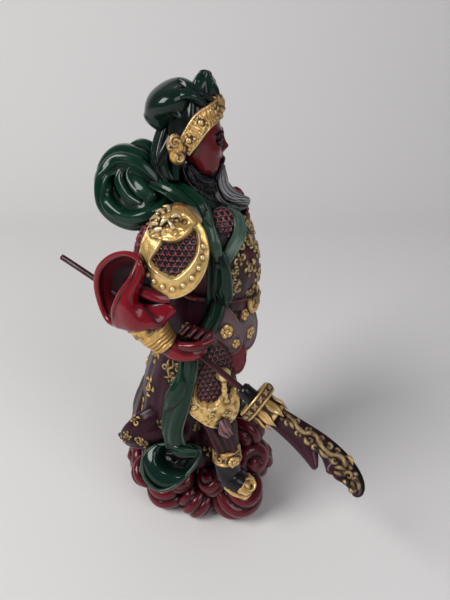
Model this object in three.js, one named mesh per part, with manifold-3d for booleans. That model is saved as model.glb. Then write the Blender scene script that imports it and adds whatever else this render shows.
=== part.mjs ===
// A cast and painted figurine of a bearded general on a bank of clouds, with a polearm held low at the right.
// Millimetres, +Z up. The figure faces -Y, so its right hand is at -X. The origin is at the centre of the
// underside, on the surface that the figurine stands on.
// Three pieces: the casting of the figure with its clouds, the wire shaft, and the cast blade head.

import * as THREE from 'three';
import { mergeVertices } from 'three/addons/utils/BufferGeometryUtils.js';
import Module from 'manifold-3d';

const wasm = await Module();
wasm.setup();

// Driving dimensions, in millimetres
const HEIGHT = 300;            // underside to the tip of the hat's tuft
const SHAFT_DIAMETER = 3.6;    // the polearm's wire shaft
const SHAFT_BOW = 3;           // how far the middle of the shaft stands above the line between its ends
const SHAFT_CLEARANCE = 0.3;   // air round the shaft in the fist and in the ferrule
const FERRULE_DIAMETER = 9.5;
const FERRULE_LENGTH = 9.5;
const SHAFT_INSERT = 8;        // how far the shaft goes into the ferrule
const GUARD_DIAMETER = 25;
const GUARD_THICKNESS = 5;
const COLLAR_LENGTH = 10.5;
const BLADE_LENGTH = 62;
const BLADE_WIDTH = 20.5;      // from the back of the edge to the tip of the hook
const BLADE_THICKNESS = 4;
const FINEST_EDGE = 0.9;       // the casting's surface shows nothing finer

// The figure's own forms are written for a figure 300 mm tall and follow its height.
const DRAWN_HEIGHT = 300;
const share = HEIGHT / DRAWN_HEIGHT;
const at = (x, y, z) => new THREE.Vector3(x, y, z).multiplyScalar(share);
const facing = (x, y, z) => new THREE.Vector3(x, y, z).normalize();
const UP = facing(0, 0, 1);
const LEFT = facing(1, 0, 0);
const FRONT = facing(0, -1, 0);

const { PI, sin, cos, abs, sign, min, max } = Math;

// A smooth value through evenly spaced stations, at t from 0 to 1.
function through(values, t) {
  if (typeof values === 'number') return values;
  const last = values.length - 1;
  const place = min(max(t, 0), 1) * last;
  const i = min(Math.floor(place), last - 1);
  const f = place - i;
  const [a, b, c, d] = [values[max(i - 1, 0)], values[i], values[i + 1], values[min(i + 2, last)]];
  return b + 0.5 * f * (c - a + f * (2 * a - 5 * b + 4 * c - d + f * (3 * (b - c) + d - a)));
}

// A closed mesh from points and faces, with its faces turned outwards.
function closedMesh(points, faces) {
  const geometry = new THREE.BufferGeometry();
  const numbers = points.flatMap((p) => [p.x, p.y, p.z]);
  geometry.setAttribute('position', new THREE.Float32BufferAttribute(numbers, 3));
  geometry.setIndex(faces.flat());
  return geometry;
}

// Triangles between two rings of points that start at the given indices.
function strip(faces, ringA, ringB, count, closed = true) {
  for (let i = 0; i < (closed ? count : count - 1); i += 1) {
    const j = (i + 1) % count;
    faces.push([ringA + i, ringA + j, ringB + j], [ringA + i, ringB + j, ringB + i]);
  }
}

// The pieces of the figure are first kept as bodies, then joined into one solid.
function solid(geometry) {
  const bare = geometry.clone();
  bare.deleteAttribute('normal');
  bare.deleteAttribute('uv');
  const merged = mergeVertices(bare, 1e-4);
  const position = merged.getAttribute('position');
  const triangles = Uint32Array.from(merged.getIndex().array);
  const [a, b, c] = [new THREE.Vector3(), new THREE.Vector3(), new THREE.Vector3()];
  let volume = 0;
  for (let i = 0; i < triangles.length; i += 3) {
    a.fromBufferAttribute(position, triangles[i]);
    b.fromBufferAttribute(position, triangles[i + 1]);
    c.fromBufferAttribute(position, triangles[i + 2]);
    volume += a.dot(b.cross(c));
  }
  if (volume < 0) {
    for (let i = 0; i < triangles.length; i += 3) {
      [triangles[i + 1], triangles[i + 2]] = [triangles[i + 2], triangles[i + 1]];
    }
  }
  const vertProperties = Float32Array.from(position.array);
  return new wasm.Manifold(new wasm.Mesh({ numProp: 3, vertProperties, triVerts: triangles }));
}

const joined = (solids) => solids.reduce((whole, next) => whole.add(next));

// A body swept through places on a smooth path. "wide" and "thick" are half-sizes at the stations,
// "wideAlong" is the direction of the wide side, "square" the section's power (2 is an ellipse), "ends" how
// far round ends stand out, and "carve" an outward offset in drawn millimetres for an angle round the section
// and a share of the path.
function skin({ places, wide, thick = wide, wideAlong = LEFT, sides = 10, steps = 8, square = 2,
                ends = 0, carve = null, loop = false }) {
  const path = new THREE.CatmullRomCurve3(places, loop, 'centripetal');
  const points = [];
  const faces = [];
  const power = 2 / square;
  const rim = (value) => sign(value) * abs(value) ** power;
  const frame = (t) => {
    const along = path.getTangent(t);
    const direction = Array.isArray(wideAlong)
      ? new THREE.Vector3(...[0, 1, 2].map((k) => through(wideAlong.map((v) => v.getComponent(k)), t)))
      : wideAlong.clone();
    const a = direction.addScaledVector(along, -direction.dot(along)).normalize();
    return { along, a, b: along.clone().cross(a) };
  };
  const ring = (t, size, out) => {
    const { along, a, b } = frame(t);
    const centre = path.getPoint(t).addScaledVector(along, out);
    const [w, h] = [through(wide, t) * share * size, through(thick, t) * share * size];
    for (let i = 0; i < sides; i += 1) {
      const angle = (2 * PI * i) / sides;
      const p = centre.clone().addScaledVector(a, w * rim(cos(angle)))
        .addScaledVector(b, h * rim(sin(angle)));
      if (carve) {
        const normal = a.clone().multiplyScalar(h * cos(angle))
          .addScaledVector(b, w * sin(angle)).normalize();
        p.addScaledVector(normal, carve(angle, t) * share * size);
      }
      points.push(p);
    }
  };
  const rings = [];
  const addRing = (t, size = 1, out = 0) => {
    rings.push(points.length);
    ring(t, size, out);
  };
  if (loop) {
    for (let i = 0; i < steps; i += 1) addRing(i / steps);
    rings.push(rings[0]);
  } else {
    const swell = ends * share;
    const turns = ends > 0 ? [50] : [];
    turns.forEach((deg) => addRing(0, cos((deg * PI) / 180), -swell * sin((deg * PI) / 180)));
    for (let i = 0; i <= steps; i += 1) addRing(i / steps);
    turns.reverse().forEach((deg) => addRing(1, cos((deg * PI) / 180), swell * sin((deg * PI) / 180)));
    const [start, end] = [points.length, points.length + 1];
    points.push(path.getPoint(0).addScaledVector(path.getTangent(0), -swell));
    points.push(path.getPoint(1).addScaledVector(path.getTangent(1), swell));
    const lastRing = rings[rings.length - 1];
    for (let i = 0; i < sides; i += 1) {
      const j = (i + 1) % sides;
      faces.push([start, rings[0] + j, rings[0] + i], [end, lastRing + i, lastRing + j]);
    }
  }
  for (let i = 0; i + 1 < rings.length; i += 1) strip(faces, rings[i], rings[i + 1], sides);
  return closedMesh(points, faces);
}

// A cloth of even thickness over surface(u, v), both from 0 to 1. "hoop" joins its two sides into a tube.
function cloth({ surface, across, down, thickness, hoop = false }) {
  const points = [];
  const faces = [];
  const columns = hoop ? across : across + 1;
  const step = 1e-3;
  const half = (thickness * share) / 2;
  for (const side of [half, -half]) {
    for (let j = 0; j <= down; j += 1) {
      for (let i = 0; i < columns; i += 1) {
        const [u, v] = [i / across, j / down];
        const du = surface(u + step, v).sub(surface(u - step, v));
        const dv = surface(u, min(v + step, 1)).sub(surface(u, max(v - step, 0)));
        points.push(surface(u, v).addScaledVector(du.cross(dv).normalize(), side));
      }
    }
  }
  const other = (down + 1) * columns;
  for (let j = 0; j < down; j += 1) {
    strip(faces, j * columns, (j + 1) * columns, columns, hoop);
    const back = [];
    strip(back, other + j * columns, other + (j + 1) * columns, columns, hoop);
    faces.push(...back.map(([a, b, c]) => [a, c, b]));
    if (!hoop) {
      for (const [i, over] of [[0, false], [columns - 1, true]]) {
        const [p, q] = [j * columns + i, (j + 1) * columns + i];
        const pair = [[p, q, other + q], [p, other + q, other + p]];
        faces.push(...pair.map(([a, b, c]) => (over ? [a, c, b] : [a, b, c])));
      }
    }
  }
  for (const [row, over] of [[0, true], [down * columns, false]]) {
    const edge = [];
    strip(edge, row, other + row, columns, hoop);
    faces.push(...edge.map(([a, b, c]) => (over ? [a, c, b] : [a, b, c])));
  }
  return closedMesh(points, faces);
}

// A rounded mass with its poles along "pole", whose radii may differ.
function mass({ centre, radii, pole = UP, sides = 12, rows = 8 }) {
  const geometry = new THREE.SphereGeometry(1, sides, rows);
  geometry.scale(radii[0] * share, radii[2] * share, radii[1] * share);
  geometry.applyQuaternion(new THREE.Quaternion().setFromUnitVectors(facing(0, 1, 0), UP));
  geometry.applyQuaternion(new THREE.Quaternion().setFromUnitVectors(UP, pole));
  return geometry.translate(centre.x, centre.y, centre.z);
}

// A plate with an outline and a relief, closed by a blunt point behind. "outline" gives the half-width and
// half-height at an angle, "relief" the height at a share of the radius and an angle, "rows" those shares.
function plate({ centre, towards, upright = UP, outline, relief, behind = 6, sides = 16, rows = [0.5, 1] }) {
  const across = upright.clone().cross(towards).normalize();
  const top = towards.clone().cross(across);
  const points = [];
  const faces = [];
  const place = (rho, angle, height) => {
    const [w, h] = outline(angle);
    return centre.clone().addScaledVector(across, rho * w * share).addScaledVector(top, rho * h * share)
      .addScaledVector(towards, height * share);
  };
  for (const rho of rows) {
    for (let i = 0; i < sides; i += 1) {
      const angle = (2 * PI * i) / sides;
      points.push(place(rho, angle, relief(rho, angle)));
    }
  }
  const middle = points.length;
  points.push(place(0, 0, relief(0, 0)), place(0, 0, -behind));
  for (let i = 0; i < sides; i += 1) {
    const j = (i + 1) % sides;
    faces.push([middle, i, j], [middle + 1, (rows.length - 1) * sides + j, (rows.length - 1) * sides + i]);
  }
  for (let j = 0; j + 1 < rows.length; j += 1) strip(faces, (j + 1) * sides, j * sides, sides);
  return closedMesh(points, faces);
}

// One rolled cloud: a ball with rings cut into the side that it turns outwards. "lean" draws the rings
// together on one side, so that they close up into crescents.
function cloud({ centre, radius, towards, lean = 0, depth = 0.09, sides = 10 }) {
  const across = (abs(towards.z) > 0.9 ? LEFT : UP).clone().cross(towards).normalize();
  const top = towards.clone().cross(across);
  const polars = depth > 0 ? [20, 40, 60, 85, 125] : [35, 70, 115];
  const points = [];
  const faces = [];
  polars.forEach((degrees, j) => {
    const polar = (degrees * PI) / 180;
    const tilt = lean * max(0, 1 - degrees / 90);
    const pole = towards.clone().addScaledVector(top, tilt).normalize();
    const side = pole.clone().cross(across).normalize();
    const r = radius * share * (1 - (j % 2 === 0 && degrees < 90 ? depth : 0));
    for (let i = 0; i < sides; i += 1) {
      const angle = (2 * PI * i) / sides;
      points.push(centre.clone().addScaledVector(pole, r * cos(polar))
        .addScaledVector(across, r * sin(polar) * cos(angle))
        .addScaledVector(side, r * sin(polar) * sin(angle)));
    }
  });
  const [front, back] = [points.length, points.length + 1];
  const nose = towards.clone().addScaledVector(top, lean).normalize();
  points.push(centre.clone().addScaledVector(nose, radius * share));
  points.push(centre.clone().addScaledVector(towards, -radius * share));
  for (let i = 0; i < sides; i += 1) {
    const j = (i + 1) % sides;
    const last = (polars.length - 1) * sides;
    faces.push([front, i, j], [back, last + j, last + i]);
  }
  for (let j = 0; j + 1 < polars.length; j += 1) strip(faces, (j + 1) * sides, j * sides, sides);
  return closedMesh(points, faces);
}

const flipped = (geometry) => geometry.clone().scale(-1, 1, 1);
const turned = (geometry, degrees) => geometry.rotateZ((degrees * PI) / 180);

// A scroll: the round end of a rolled cloud, with a spiral groove that winds to its middle.
function scroll({ centre, radius, towards, turns = 2, spin = 1 }) {
  const groove = (rho, angle) => cos(2 * PI * turns * rho - spin * angle);
  return plate({ centre, towards, behind: radius, sides: 12, rows: [0.16, 0.34, 0.52, 0.68, 0.84, 1],
    outline: (angle) => [radius * cos(angle), radius * sin(angle)],
    relief: (rho, angle) => radius * (0.52 * (1 - rho ** 4) + (rho < 0.9 ? 0.09 * groove(rho, angle) : 0)) });
}

// The bank of clouds under the figure, and the mound that they are piled on.
function clouds() {
  const mound = skin({ places: [at(0, 5, -6), at(0, 5, 16), at(-2, 6, 34), at(-1, 8, 50)], wideAlong: LEFT,
    wide: [31, 35, 31, 24], thick: [46, 50, 42, 32], sides: 14, steps: 2 });
  const rolls = [
    { centre: at(-25, -28, 19), radius: 21, towards: facing(-0.7, -0.6, 0.35), lean: 0.7, sides: 14 },
    { centre: at(-31, 3, 14), radius: 14.5, towards: facing(-0.95, -0.1, 0.3), lean: -0.6 },
    { centre: at(-26, 30, 17), radius: 17, towards: facing(-0.85, 0.4, 0.3), lean: 0.6 },
    { centre: at(-12, 48, 25), radius: 14, towards: facing(-0.5, 0.8, 0.3), lean: -0.5 },
    { centre: at(8, 52, 15), radius: 15, towards: facing(0.2, 0.95, 0.25), lean: 0.5 },
    { centre: at(16, -33, 18), radius: 18, towards: facing(0.35, -0.9, 0.25), lean: -0.6 },
    { centre: at(28, -10, 17), radius: 17, towards: facing(0.95, -0.2, 0.3), lean: 0.6 },
    { centre: at(27, 18, 17), radius: 17, towards: facing(0.95, 0.2, 0.3), lean: -0.6 },
    { centre: at(25, -22, 42), radius: 13, towards: facing(0.8, -0.5, 0.4), lean: 0.5 },
  ].map((roll) => cloud(roll));
  const scrolls = [
    scroll({ centre: at(-5, -32, 40), radius: 16.5, towards: facing(-0.75, -0.6, 0.35) }),
    scroll({ centre: at(2, -29, 60), radius: 14, towards: facing(-0.6, -0.7, 0.45), spin: -1 }),
  ];
  return [mound, ...rolls, ...scrolls];
}

// The long robe from the belt to its kicked-out hem, with folds that deepen downwards.
function robe() {
  const folds = (angle, t) => 2.4 * t * t * cos(6 * angle + 2 * t) + 1.4 * t * sin(3 * angle);
  const column = skin({ places: [at(0, 0, 180), at(0, 2.5, 160), at(-1, 7, 132), at(-1, 13, 104),
    at(-1, 16, 76), at(-2, 17, 46)], wide: [29, 34, 38, 40, 40, 38], thick: [27, 29.5, 31, 33, 35, 37],
    sides: 24, steps: 5, carve: folds });
  const hem = skin({ places: [at(-8, 38, 88), at(-12, 47, 68), at(-15, 57, 50)], wide: [15, 17, 9],
    thick: [9, 11, 5], wideAlong: facing(1, 0.15, 0), sides: 8, steps: 2, ends: 3 });
  return [column, hem];
}

// The chest and belly, from the belt to the neck.
function torso() {
  return [skin({ places: [at(0, -1, 168), at(0, -1, 186), at(0, 0, 200), at(0, 2, 213), at(0, 5, 226),
    at(1, 9, 238), at(1, 8, 248)], wide: [29, 31, 34, 36, 33, 16, 11], thick: [29, 31, 30, 25.5, 18, 11, 9],
    sides: 12, steps: 6 })];
}

// The belt with its buckle.
function belt() {
  const sash = skin({ places: [at(-30, 0, 178), at(-18, -23, 173), at(0, -30, 171), at(18, -23, 173),
    at(30, 0, 178), at(18, 22, 181), at(0, 27, 182), at(-18, 22, 181)], loop: true, wide: 2.2, thick: 3,
    wideAlong: UP, sides: 4, steps: 12 });
  const buckle = plate({ centre: at(-2, -29.5, 169), towards: facing(-0.1, -1, 0.05), sides: 10,
    outline: (a) => [9 * cos(a), 11 * sin(a)], relief: (rho) => 3 - 2.4 * rho * rho });
  return [sash, buckle];
}

// A hanging leaf of armour: its outline is broad at the belt and round below.
function tasset({ centre, towards, width, length, lean = 0, behind = 5 }) {
  return plate({ centre, towards, upright: facing(lean, 0, 1), behind, sides: 10, rows: [0.6, 1],
    outline: (a) => [width * cos(a) * (1 - 0.25 * sin(a)), length * sin(a)],
    relief: (rho) => 2.5 - 2 * rho ** 3 });
}

function tassets() {
  const fore = tasset({ centre: at(-21, -21.5, 156), towards: facing(-0.65, -0.75, 0.1), width: 11,
    length: 20, lean: -0.1 });
  const middle = tasset({ centre: at(-3, -26, 150), towards: facing(-0.1, -1, 0.1), width: 12, length: 19 });
  const lining = tasset({ centre: at(-12, -25, 128), towards: facing(-0.45, -0.9, 0), width: 12,
    length: 20 });
  return [fore, middle, lining, ...[fore, lining].map((leaf) => flipped(leaf).translate(0, 4 * share, 0))];
}

// The skirt of scales over the right thigh, with its broad border, its bar and its knob.
function scaleSkirt() {
  const panel = plate({ centre: at(-37, -12, 122), towards: facing(-0.85, -0.5, 0.12), behind: 12, sides: 16,
    rows: [0.45, 0.7, 0.76, 1], outline: (a) => [16.5 * cos(a) * (1 - 0.12 * sin(a)), 29 * sin(a)],
    relief: (rho, a) => 6 - 4.5 * rho * rho + (sin(a) < 0.4 && rho > 0.72 ? 1.8 : 0) });
  const bar = skin({ places: [at(-39.5, -19, 133), at(-41.5, -19, 117), at(-41.5, -18, 101)],
    wide: [2, 2.2, 4], thick: 2, wideAlong: facing(-0.5, 0.85, 0), sides: 5, steps: 2, ends: 1 });
  const knob = mass({ centre: at(-40, -19.5, 134), radii: [4.4, 4.4, 4.4], sides: 8, rows: 5 });
  const far = plate({ centre: at(37, -12, 122), towards: facing(0.85, -0.5, 0.12), behind: 12, sides: 12,
    rows: [0.7, 1], outline: (a) => [16.5 * cos(a), 29 * sin(a)], relief: (rho) => 6 - 4.5 * rho * rho });
  return [panel, bar, knob, far];
}

// The right leg in loose trousers, and the two boots on the clouds.
function boot({ heel, toe, width, height }) {
  const foot = skin({ places: [heel, heel.clone().lerp(toe, 0.5), toe],
    wide: [width * 0.8, width, width * 0.7], thick: [height, height * 0.85, height * 0.6],
    wideAlong: LEFT, sides: 8, steps: 3, ends: 3.5 });
  const ring = plate({ centre: toe.clone().add(at(-1, -1.5, height * 0.42)),
    towards: facing(-0.35, -0.5, 0.8), sides: 8, rows: [0.35, 0.7, 1],
    outline: (a) => [5.2 * cos(a), 5.2 * sin(a)],
    relief: (rho) => 1.8 + (rho > 0.5 && rho < 0.9 ? 1 : 0) });
  return [foot, ring];
}

function legs() {
  const trousers = skin({ places: [at(-28, -9, 104), at(-34, -17, 84), at(-36, -20, 68)], wide: [13, 11, 9],
    thick: [13, 11, 9], sides: 10, steps: 3, carve: (angle) => 0.9 * cos(5 * angle) });
  const cuff = skin({ places: [at(-36, -20, 70), at(-37, -20, 53)], wide: [9, 10], thick: [9, 10], sides: 10,
    steps: 1 });
  return [trousers, cuff, ...boot({ heel: at(-36, -19, 47), toe: at(-39, -37, 42), width: 8.5, height: 8 }),
    ...boot({ heel: at(20, -16, 57), toe: at(25, -37, 52), width: 8.5, height: 8 })];
}

// The head is modelled facing -Y and then turned to the figure's left. Its face is a plain, calm one.
const HEAD_TURN = 15;          // degrees

function face() {
  const skull = skin({ places: [at(0, -1.5, 243), at(0, -0.5, 250), at(0, 1.5, 260), at(0, 3, 270),
    at(0, 5, 282)], wide: [7.5, 12.5, 15, 15.2, 13], thick: [7, 9.6, 11.6, 12.4, 13], sides: 14, steps: 4,
    ends: 3 });
  const nose = skin({ places: [at(0, -8.2, 267), at(0, -10.2, 261), at(0, -11, 257.5)], wide: [1.5, 1.8, 2.8],
    thick: [1.8, 2, 2.4], sides: 6, steps: 2, ends: 0.8 });
  const brows = [1, -1].map((s) => skin({ places: [at(1.8 * s, -9.2, 268), at(6.5 * s, -8.6, 269.4),
    at(11 * s, -6, 268.2)], wide: 1.2, thick: 1.1, wideAlong: UP, sides: 4, steps: 2, ends: 0.8 }));
  const eyes = [1, -1].map((s) => mass({ centre: at(6 * s, -7.9, 264.3), radii: [3, 2.3, 1.5], sides: 6,
    rows: 4 }));
  const lips = skin({ places: [at(-3.4, -8.4, 251.3), at(0, -9.8, 251.6), at(3.4, -8.4, 251.3)], wide: 1.2,
    thick: 1, wideAlong: UP, sides: 4, steps: 2, ends: 0.6 });
  return [skull, nose, ...brows, ...eyes, lips];
}

function hat() {
  const crown = skin({ places: [at(0, 3, 287), at(0, 12, 286.5), at(0, 21, 282.5), at(0, 26.5, 275)],
    wide: [9, 17, 18, 12], thick: [5.5, 10.8, 11.5, 8], sides: 12, steps: 4, ends: 4 });
  const band = skin({ places: [at(0, 6, 288), at(0, 8, 277), at(0, 11, 264)], wide: [13, 16.6, 16.3],
    thick: [12, 14.5, 14], sides: 12, steps: 2 });
  const tuft = skin({ places: [at(0, 0.5, 285), at(0, 0.5, 291), at(0, -1.5, 297.5)], wide: [5, 6, 3],
    thick: [6.5, 7, 3], sides: 8, steps: 2, ends: 2.8 });
  const curl = plate({ centre: at(-11.5, 3, 289), towards: facing(-0.75, -0.35, 0.55), sides: 8,
    rows: [0.35, 0.65, 1], outline: (a) => [4.5 * cos(a), 4.5 * sin(a)],
    relief: (rho) => 1.5 + 0.9 * cos(3 * PI * rho) });
  const fall = skin({ places: [at(0, 20, 272), at(-2, 22, 258), at(-4, 21, 246), at(-6, 17, 236)],
    wide: [15, 16.5, 18, 20], thick: [8, 8, 8, 7], sides: 10, steps: 3,
    carve: (angle) => 0.9 * cos(5 * angle) });
  return [crown, band, tuft, curl, fall];
}

// The gilded headband, an arch from ear to ear over the brow, with a crest in front and a scroll at each ear.
function headband() {
  const places = [at(-15.6, 12, 262), at(-16.6, 7.5, 268), at(-15.4, 1.5, 276), at(-10.5, -5, 280.5)];
  const directions = [facing(0, 0.8, 0.6), facing(0, 0.8, 0.6), facing(-0.1, 0.7, 0.65),
    facing(-0.26, 0.31, 0.92)];
  const mirrored = (list) => list.map((p) => new THREE.Vector3(-p.x, p.y, p.z)).reverse();
  const arch = skin({ places: [...places, at(0, -9, 282), ...mirrored(places)], thick: 1.6, square: 3,
    wide: [4.6, 4.8, 5.4, 5.4, 5.2, 5.4, 5.4, 4.8, 4.6], sides: 6, steps: 12,
    wideAlong: [...directions, facing(0, 0.1, 1), ...mirrored(directions)] });
  const crest = mass({ centre: at(0, -7.5, 286), radii: [5, 3.5, 5], sides: 8, rows: 5 });
  const scrolls = [1, -1].map((s) => plate({ centre: at(15.4 * s, 12.5, 261.5), towards: facing(s, -0.1, 0.1),
    sides: 9, rows: [0.35, 0.7, 1], outline: (a) => [6.4 * cos(a), 7.6 * sin(a)],
    relief: (rho) => 2 + 0.9 * cos(3 * PI * rho) }));
  return [arch, crest, ...scrolls];
}

// The beard: a mass of locks down to the chest, and the long lock that the left hand draws forwards.
function beard() {
  const locks = (angle, t) => 0.8 * cos(4 * angle + 2 * t);
  const mane = skin({ places: [at(1, 4, 251), at(1, 1, 242), at(0, -5, 231), at(-1, -14, 220),
    at(-2, -22, 210)], wide: [12.5, 12.5, 13, 11, 5], thick: [6, 6.5, 5.5, 5, 3], sides: 10, steps: 4,
    ends: 1.5, carve: locks });
  const lock = skin({ places: [at(2.5, -5.5, 250), at(2.5, -3.5, 242), at(3, -5.5, 235), at(4, -12, 229.5),
    at(6, -20.5, 226.5)], wide: [4.5, 5, 5, 4.6, 2.6], thick: [2.5, 3.4, 3.8, 3.6, 2.4], sides: 8, steps: 4,
    ends: 1.5, carve: (angle) => 0.5 * cos(4 * angle) });
  const moustache = [1, -1].map((s) => turned(skin({ places: [at(0.8 * s, -10, 253.8), at(4 * s, -9.3, 252.3),
    at(6.5 * s, -7, 246.5)], wide: [1, 1.3, 0.9], thick: [1, 1.2, 0.9], sides: 4, steps: 2,
    ends: 0.8 }), HEAD_TURN));
  const sideburns = [1, -1].map((s) => turned(skin({ places: [at(13.8 * s, 3, 262), at(13 * s, 0, 252),
    at(9.5 * s, -3, 244)], wide: [2, 3, 4], thick: [3, 4, 5], sides: 6, steps: 2, ends: 1 }), HEAD_TURN));
  return [mane, lock, ...moustache, ...sideburns];
}

// A shoulder's plate, with its raised border round the sunk patch of scales, and the beast's mask above it.
function shoulder() {
  const outline = (a) => [(21 + 1.5 * cos(3 * a)) * cos(a), 27 * sin(a)];
  const relief = (rho, a) => 12.5 - 8.5 * rho * rho - 2 * sin(a) + (rho > 0.68 ? 2 : 0);
  const centre = at(-42, 7, 211.5);
  const towards = facing(-0.95, -0.08, 0.27);
  const guard = plate({ centre, towards, behind: 12, sides: 18, rows: [0.35, 0.66, 0.71, 1], outline,
    relief });
  const across = UP.clone().cross(towards).normalize();
  const top = towards.clone().cross(across);
  const studs = [205, 230, 255, 280, 305, 330].map((degrees) => {
    const a = (degrees * PI) / 180;
    const [w, h] = outline(a).map((size) => 0.86 * size * share);
    const place = centre.clone().addScaledVector(across, w).addScaledVector(top, h)
      .addScaledVector(towards, (relief(0.86, a) + 0.5) * share);
    return mass({ centre: place, radii: [1.9, 1.9, 1.7], pole: towards, sides: 5, rows: 2 });
  });
  const mask = mass({ centre: at(-43, 9, 227), radii: [9, 14, 9.5], sides: 10, rows: 6 });
  const eyes = [0, 1].map((k) => mass({ centre: at(-50.5, 4 + 8 * k, 229.5), radii: [2.4, 2.4, 2.4], sides: 6,
    rows: 4 }));
  const snout = mass({ centre: at(-50, 8.5, 222.5), radii: [4.5, 6, 3], sides: 8, rows: 4 });
  return { guard, mask, details: [...studs, ...eyes, snout] };
}

function shoulders() {
  const { guard, mask, details } = shoulder();
  // The left shoulder is drawn a little back and down by the raised arm.
  const drawn = (geometry) => flipped(geometry).translate(-2 * share, 8 * share, -3 * share);
  return [guard, mask, ...details, drawn(guard), drawn(mask)];
}

// The wide cuff of the right sleeve: it is thrown back off the forearm and its mouth gapes behind.
function cuffMouth() {
  const rim = new THREE.CatmullRomCurve3([at(-56, 22, 210.6), at(-50, 31, 211.4), at(-46, 43, 206.5),
    at(-44, 52.5, 197), at(-43, 55.5, 186), at(-43, 54.5, 175), at(-46, 49.5, 166.5), at(-51, 42, 166),
    at(-61, 36, 177), at(-64, 33, 187), at(-64, 29, 195), at(-62, 24, 203)], true, 'centripetal');
  const middle = at(-54, 21, 187);
  const surface = (u, v) => {
    const lip = rim.getPoint(((u % 1) + 1) % 1);
    const root = middle.clone().add(lip.clone().sub(at(-52, 38, 188)).multiplyScalar(0.45));
    const near = max(0, -cos(2 * PI * (u - 0.3)));
    return root.lerp(lip, v).add(at(-3, -1, -5).multiplyScalar(near * sin(PI * v)));
  };
  return cloth({ surface, across: 13, down: 2, thickness: 2.6, hoop: true });
}

// The right arm: padded sleeve, thrown-back cuff, bracer, and the fist that holds the shaft.
function rightArm() {
  const upper = skin({ places: [at(-30, 10, 226), at(-43, 15, 212), at(-50, 19, 195), at(-53, 21, 180)],
    wide: [14, 14, 12.5, 11], thick: [13, 13, 12, 11], sides: 10, steps: 3 });
  const lobe = skin({ places: [at(-58, 25, 204), at(-61, 28, 192), at(-60, 29, 181), at(-59, 22, 177.5),
    at(-57, 12, 180), at(-51, 8, 184)], wide: [4, 6, 8, 6, 5, 4], thick: [3, 4, 4.5, 4.5, 4, 3],
    wideAlong: [facing(0, 1, 0), facing(0, 1, 0), facing(0, 0.9, 0.4), facing(0, 0.2, 1), facing(0, 0, 1),
      facing(0, 0, 1)], sides: 7, steps: 5, ends: 2 });
  const bracer = skin({ places: [at(-55, 23, 175), at(-55, 17, 167), at(-54, 10.5, 158.5)],
    wide: [11, 9.8, 7.4], thick: [11, 9.8, 7.4], sides: 10, steps: 2 });
  const palm = skin({ places: [at(-54, 12, 160), at(-53.5, 3, 156), at(-52.5, -5, 156), at(-52, -9, 157)],
    wide: [5.6, 7, 6.6, 4.4], thick: [5.6, 6.6, 6.2, 4], sides: 8, steps: 3, ends: 2 });
  const thumb = skin({ places: [at(-56, -1, 159), at(-56, -8, 161), at(-53, -14, 162)], wide: [3.2, 2.8, 1.9],
    thick: [3.2, 2.8, 1.9], sides: 5, steps: 2, ends: 1.6 });
  const fingers = [0, 1, 2, 3].map((k) => skin({ places: [at(-50, 1 - 4.2 * k, 163 - k),
    at(-45.5, -4.2 * k, 164.5 - k), at(-42, -4.2 * k, 158 - 1.3 * k)], wide: 2.3, thick: 2.4,
    wideAlong: FRONT, sides: 5, steps: 2, ends: 1.5 }));
  return [upper, cuffMouth(), lobe, bracer, palm, thumb, ...fingers];
}

// The left arm is raised, and its hand holds the long lock of the beard.
function leftArm() {
  const upper = skin({ places: [at(28, 14, 220), at(41, 12, 203), at(46, 3, 185)], wide: [13, 13, 11],
    thick: [12, 12, 11], sides: 8, steps: 2, ends: 4 });
  const fore = skin({ places: [at(46, 3, 187), at(36, -5, 198), at(23, -11, 212), at(15, -13, 221)],
    wide: [10, 9, 6.5, 4.5], thick: [10, 9, 6.5, 4.5], sides: 8, steps: 3 });
  const drape = skin({ places: [at(43, 0, 194), at(46, 4, 176), at(46, 12, 156), at(44, 18, 142)],
    wide: [9, 14, 17, 12], thick: [9, 7, 5, 3], wideAlong: FRONT, sides: 10, steps: 3, ends: 3,
    carve: (angle, t) => 1.6 * t * cos(5 * angle) });
  const palm = mass({ centre: at(11.5, -13.5, 225.5), radii: [5, 4.5, 6], sides: 8, rows: 5 });
  const thumb = skin({ places: [at(12.5, -13, 230), at(9, -13.5, 232.3), at(5, -11.5, 232.2)],
    wide: [2, 2, 1.5], sides: 5, steps: 2, ends: 1 });
  const fingers = [0, 1, 2].map((k) => skin({ places: [at(12, -16.5, 226.5 - 3 * k),
    at(8.5, -19.5, 225 - 2.6 * k), at(4, -18.5, 223.5 - 2 * k)], wide: 1.9, sides: 5, steps: 2, ends: 1.2 }));
  return [upper, fore, drape, palm, thumb, ...fingers];
}

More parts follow.
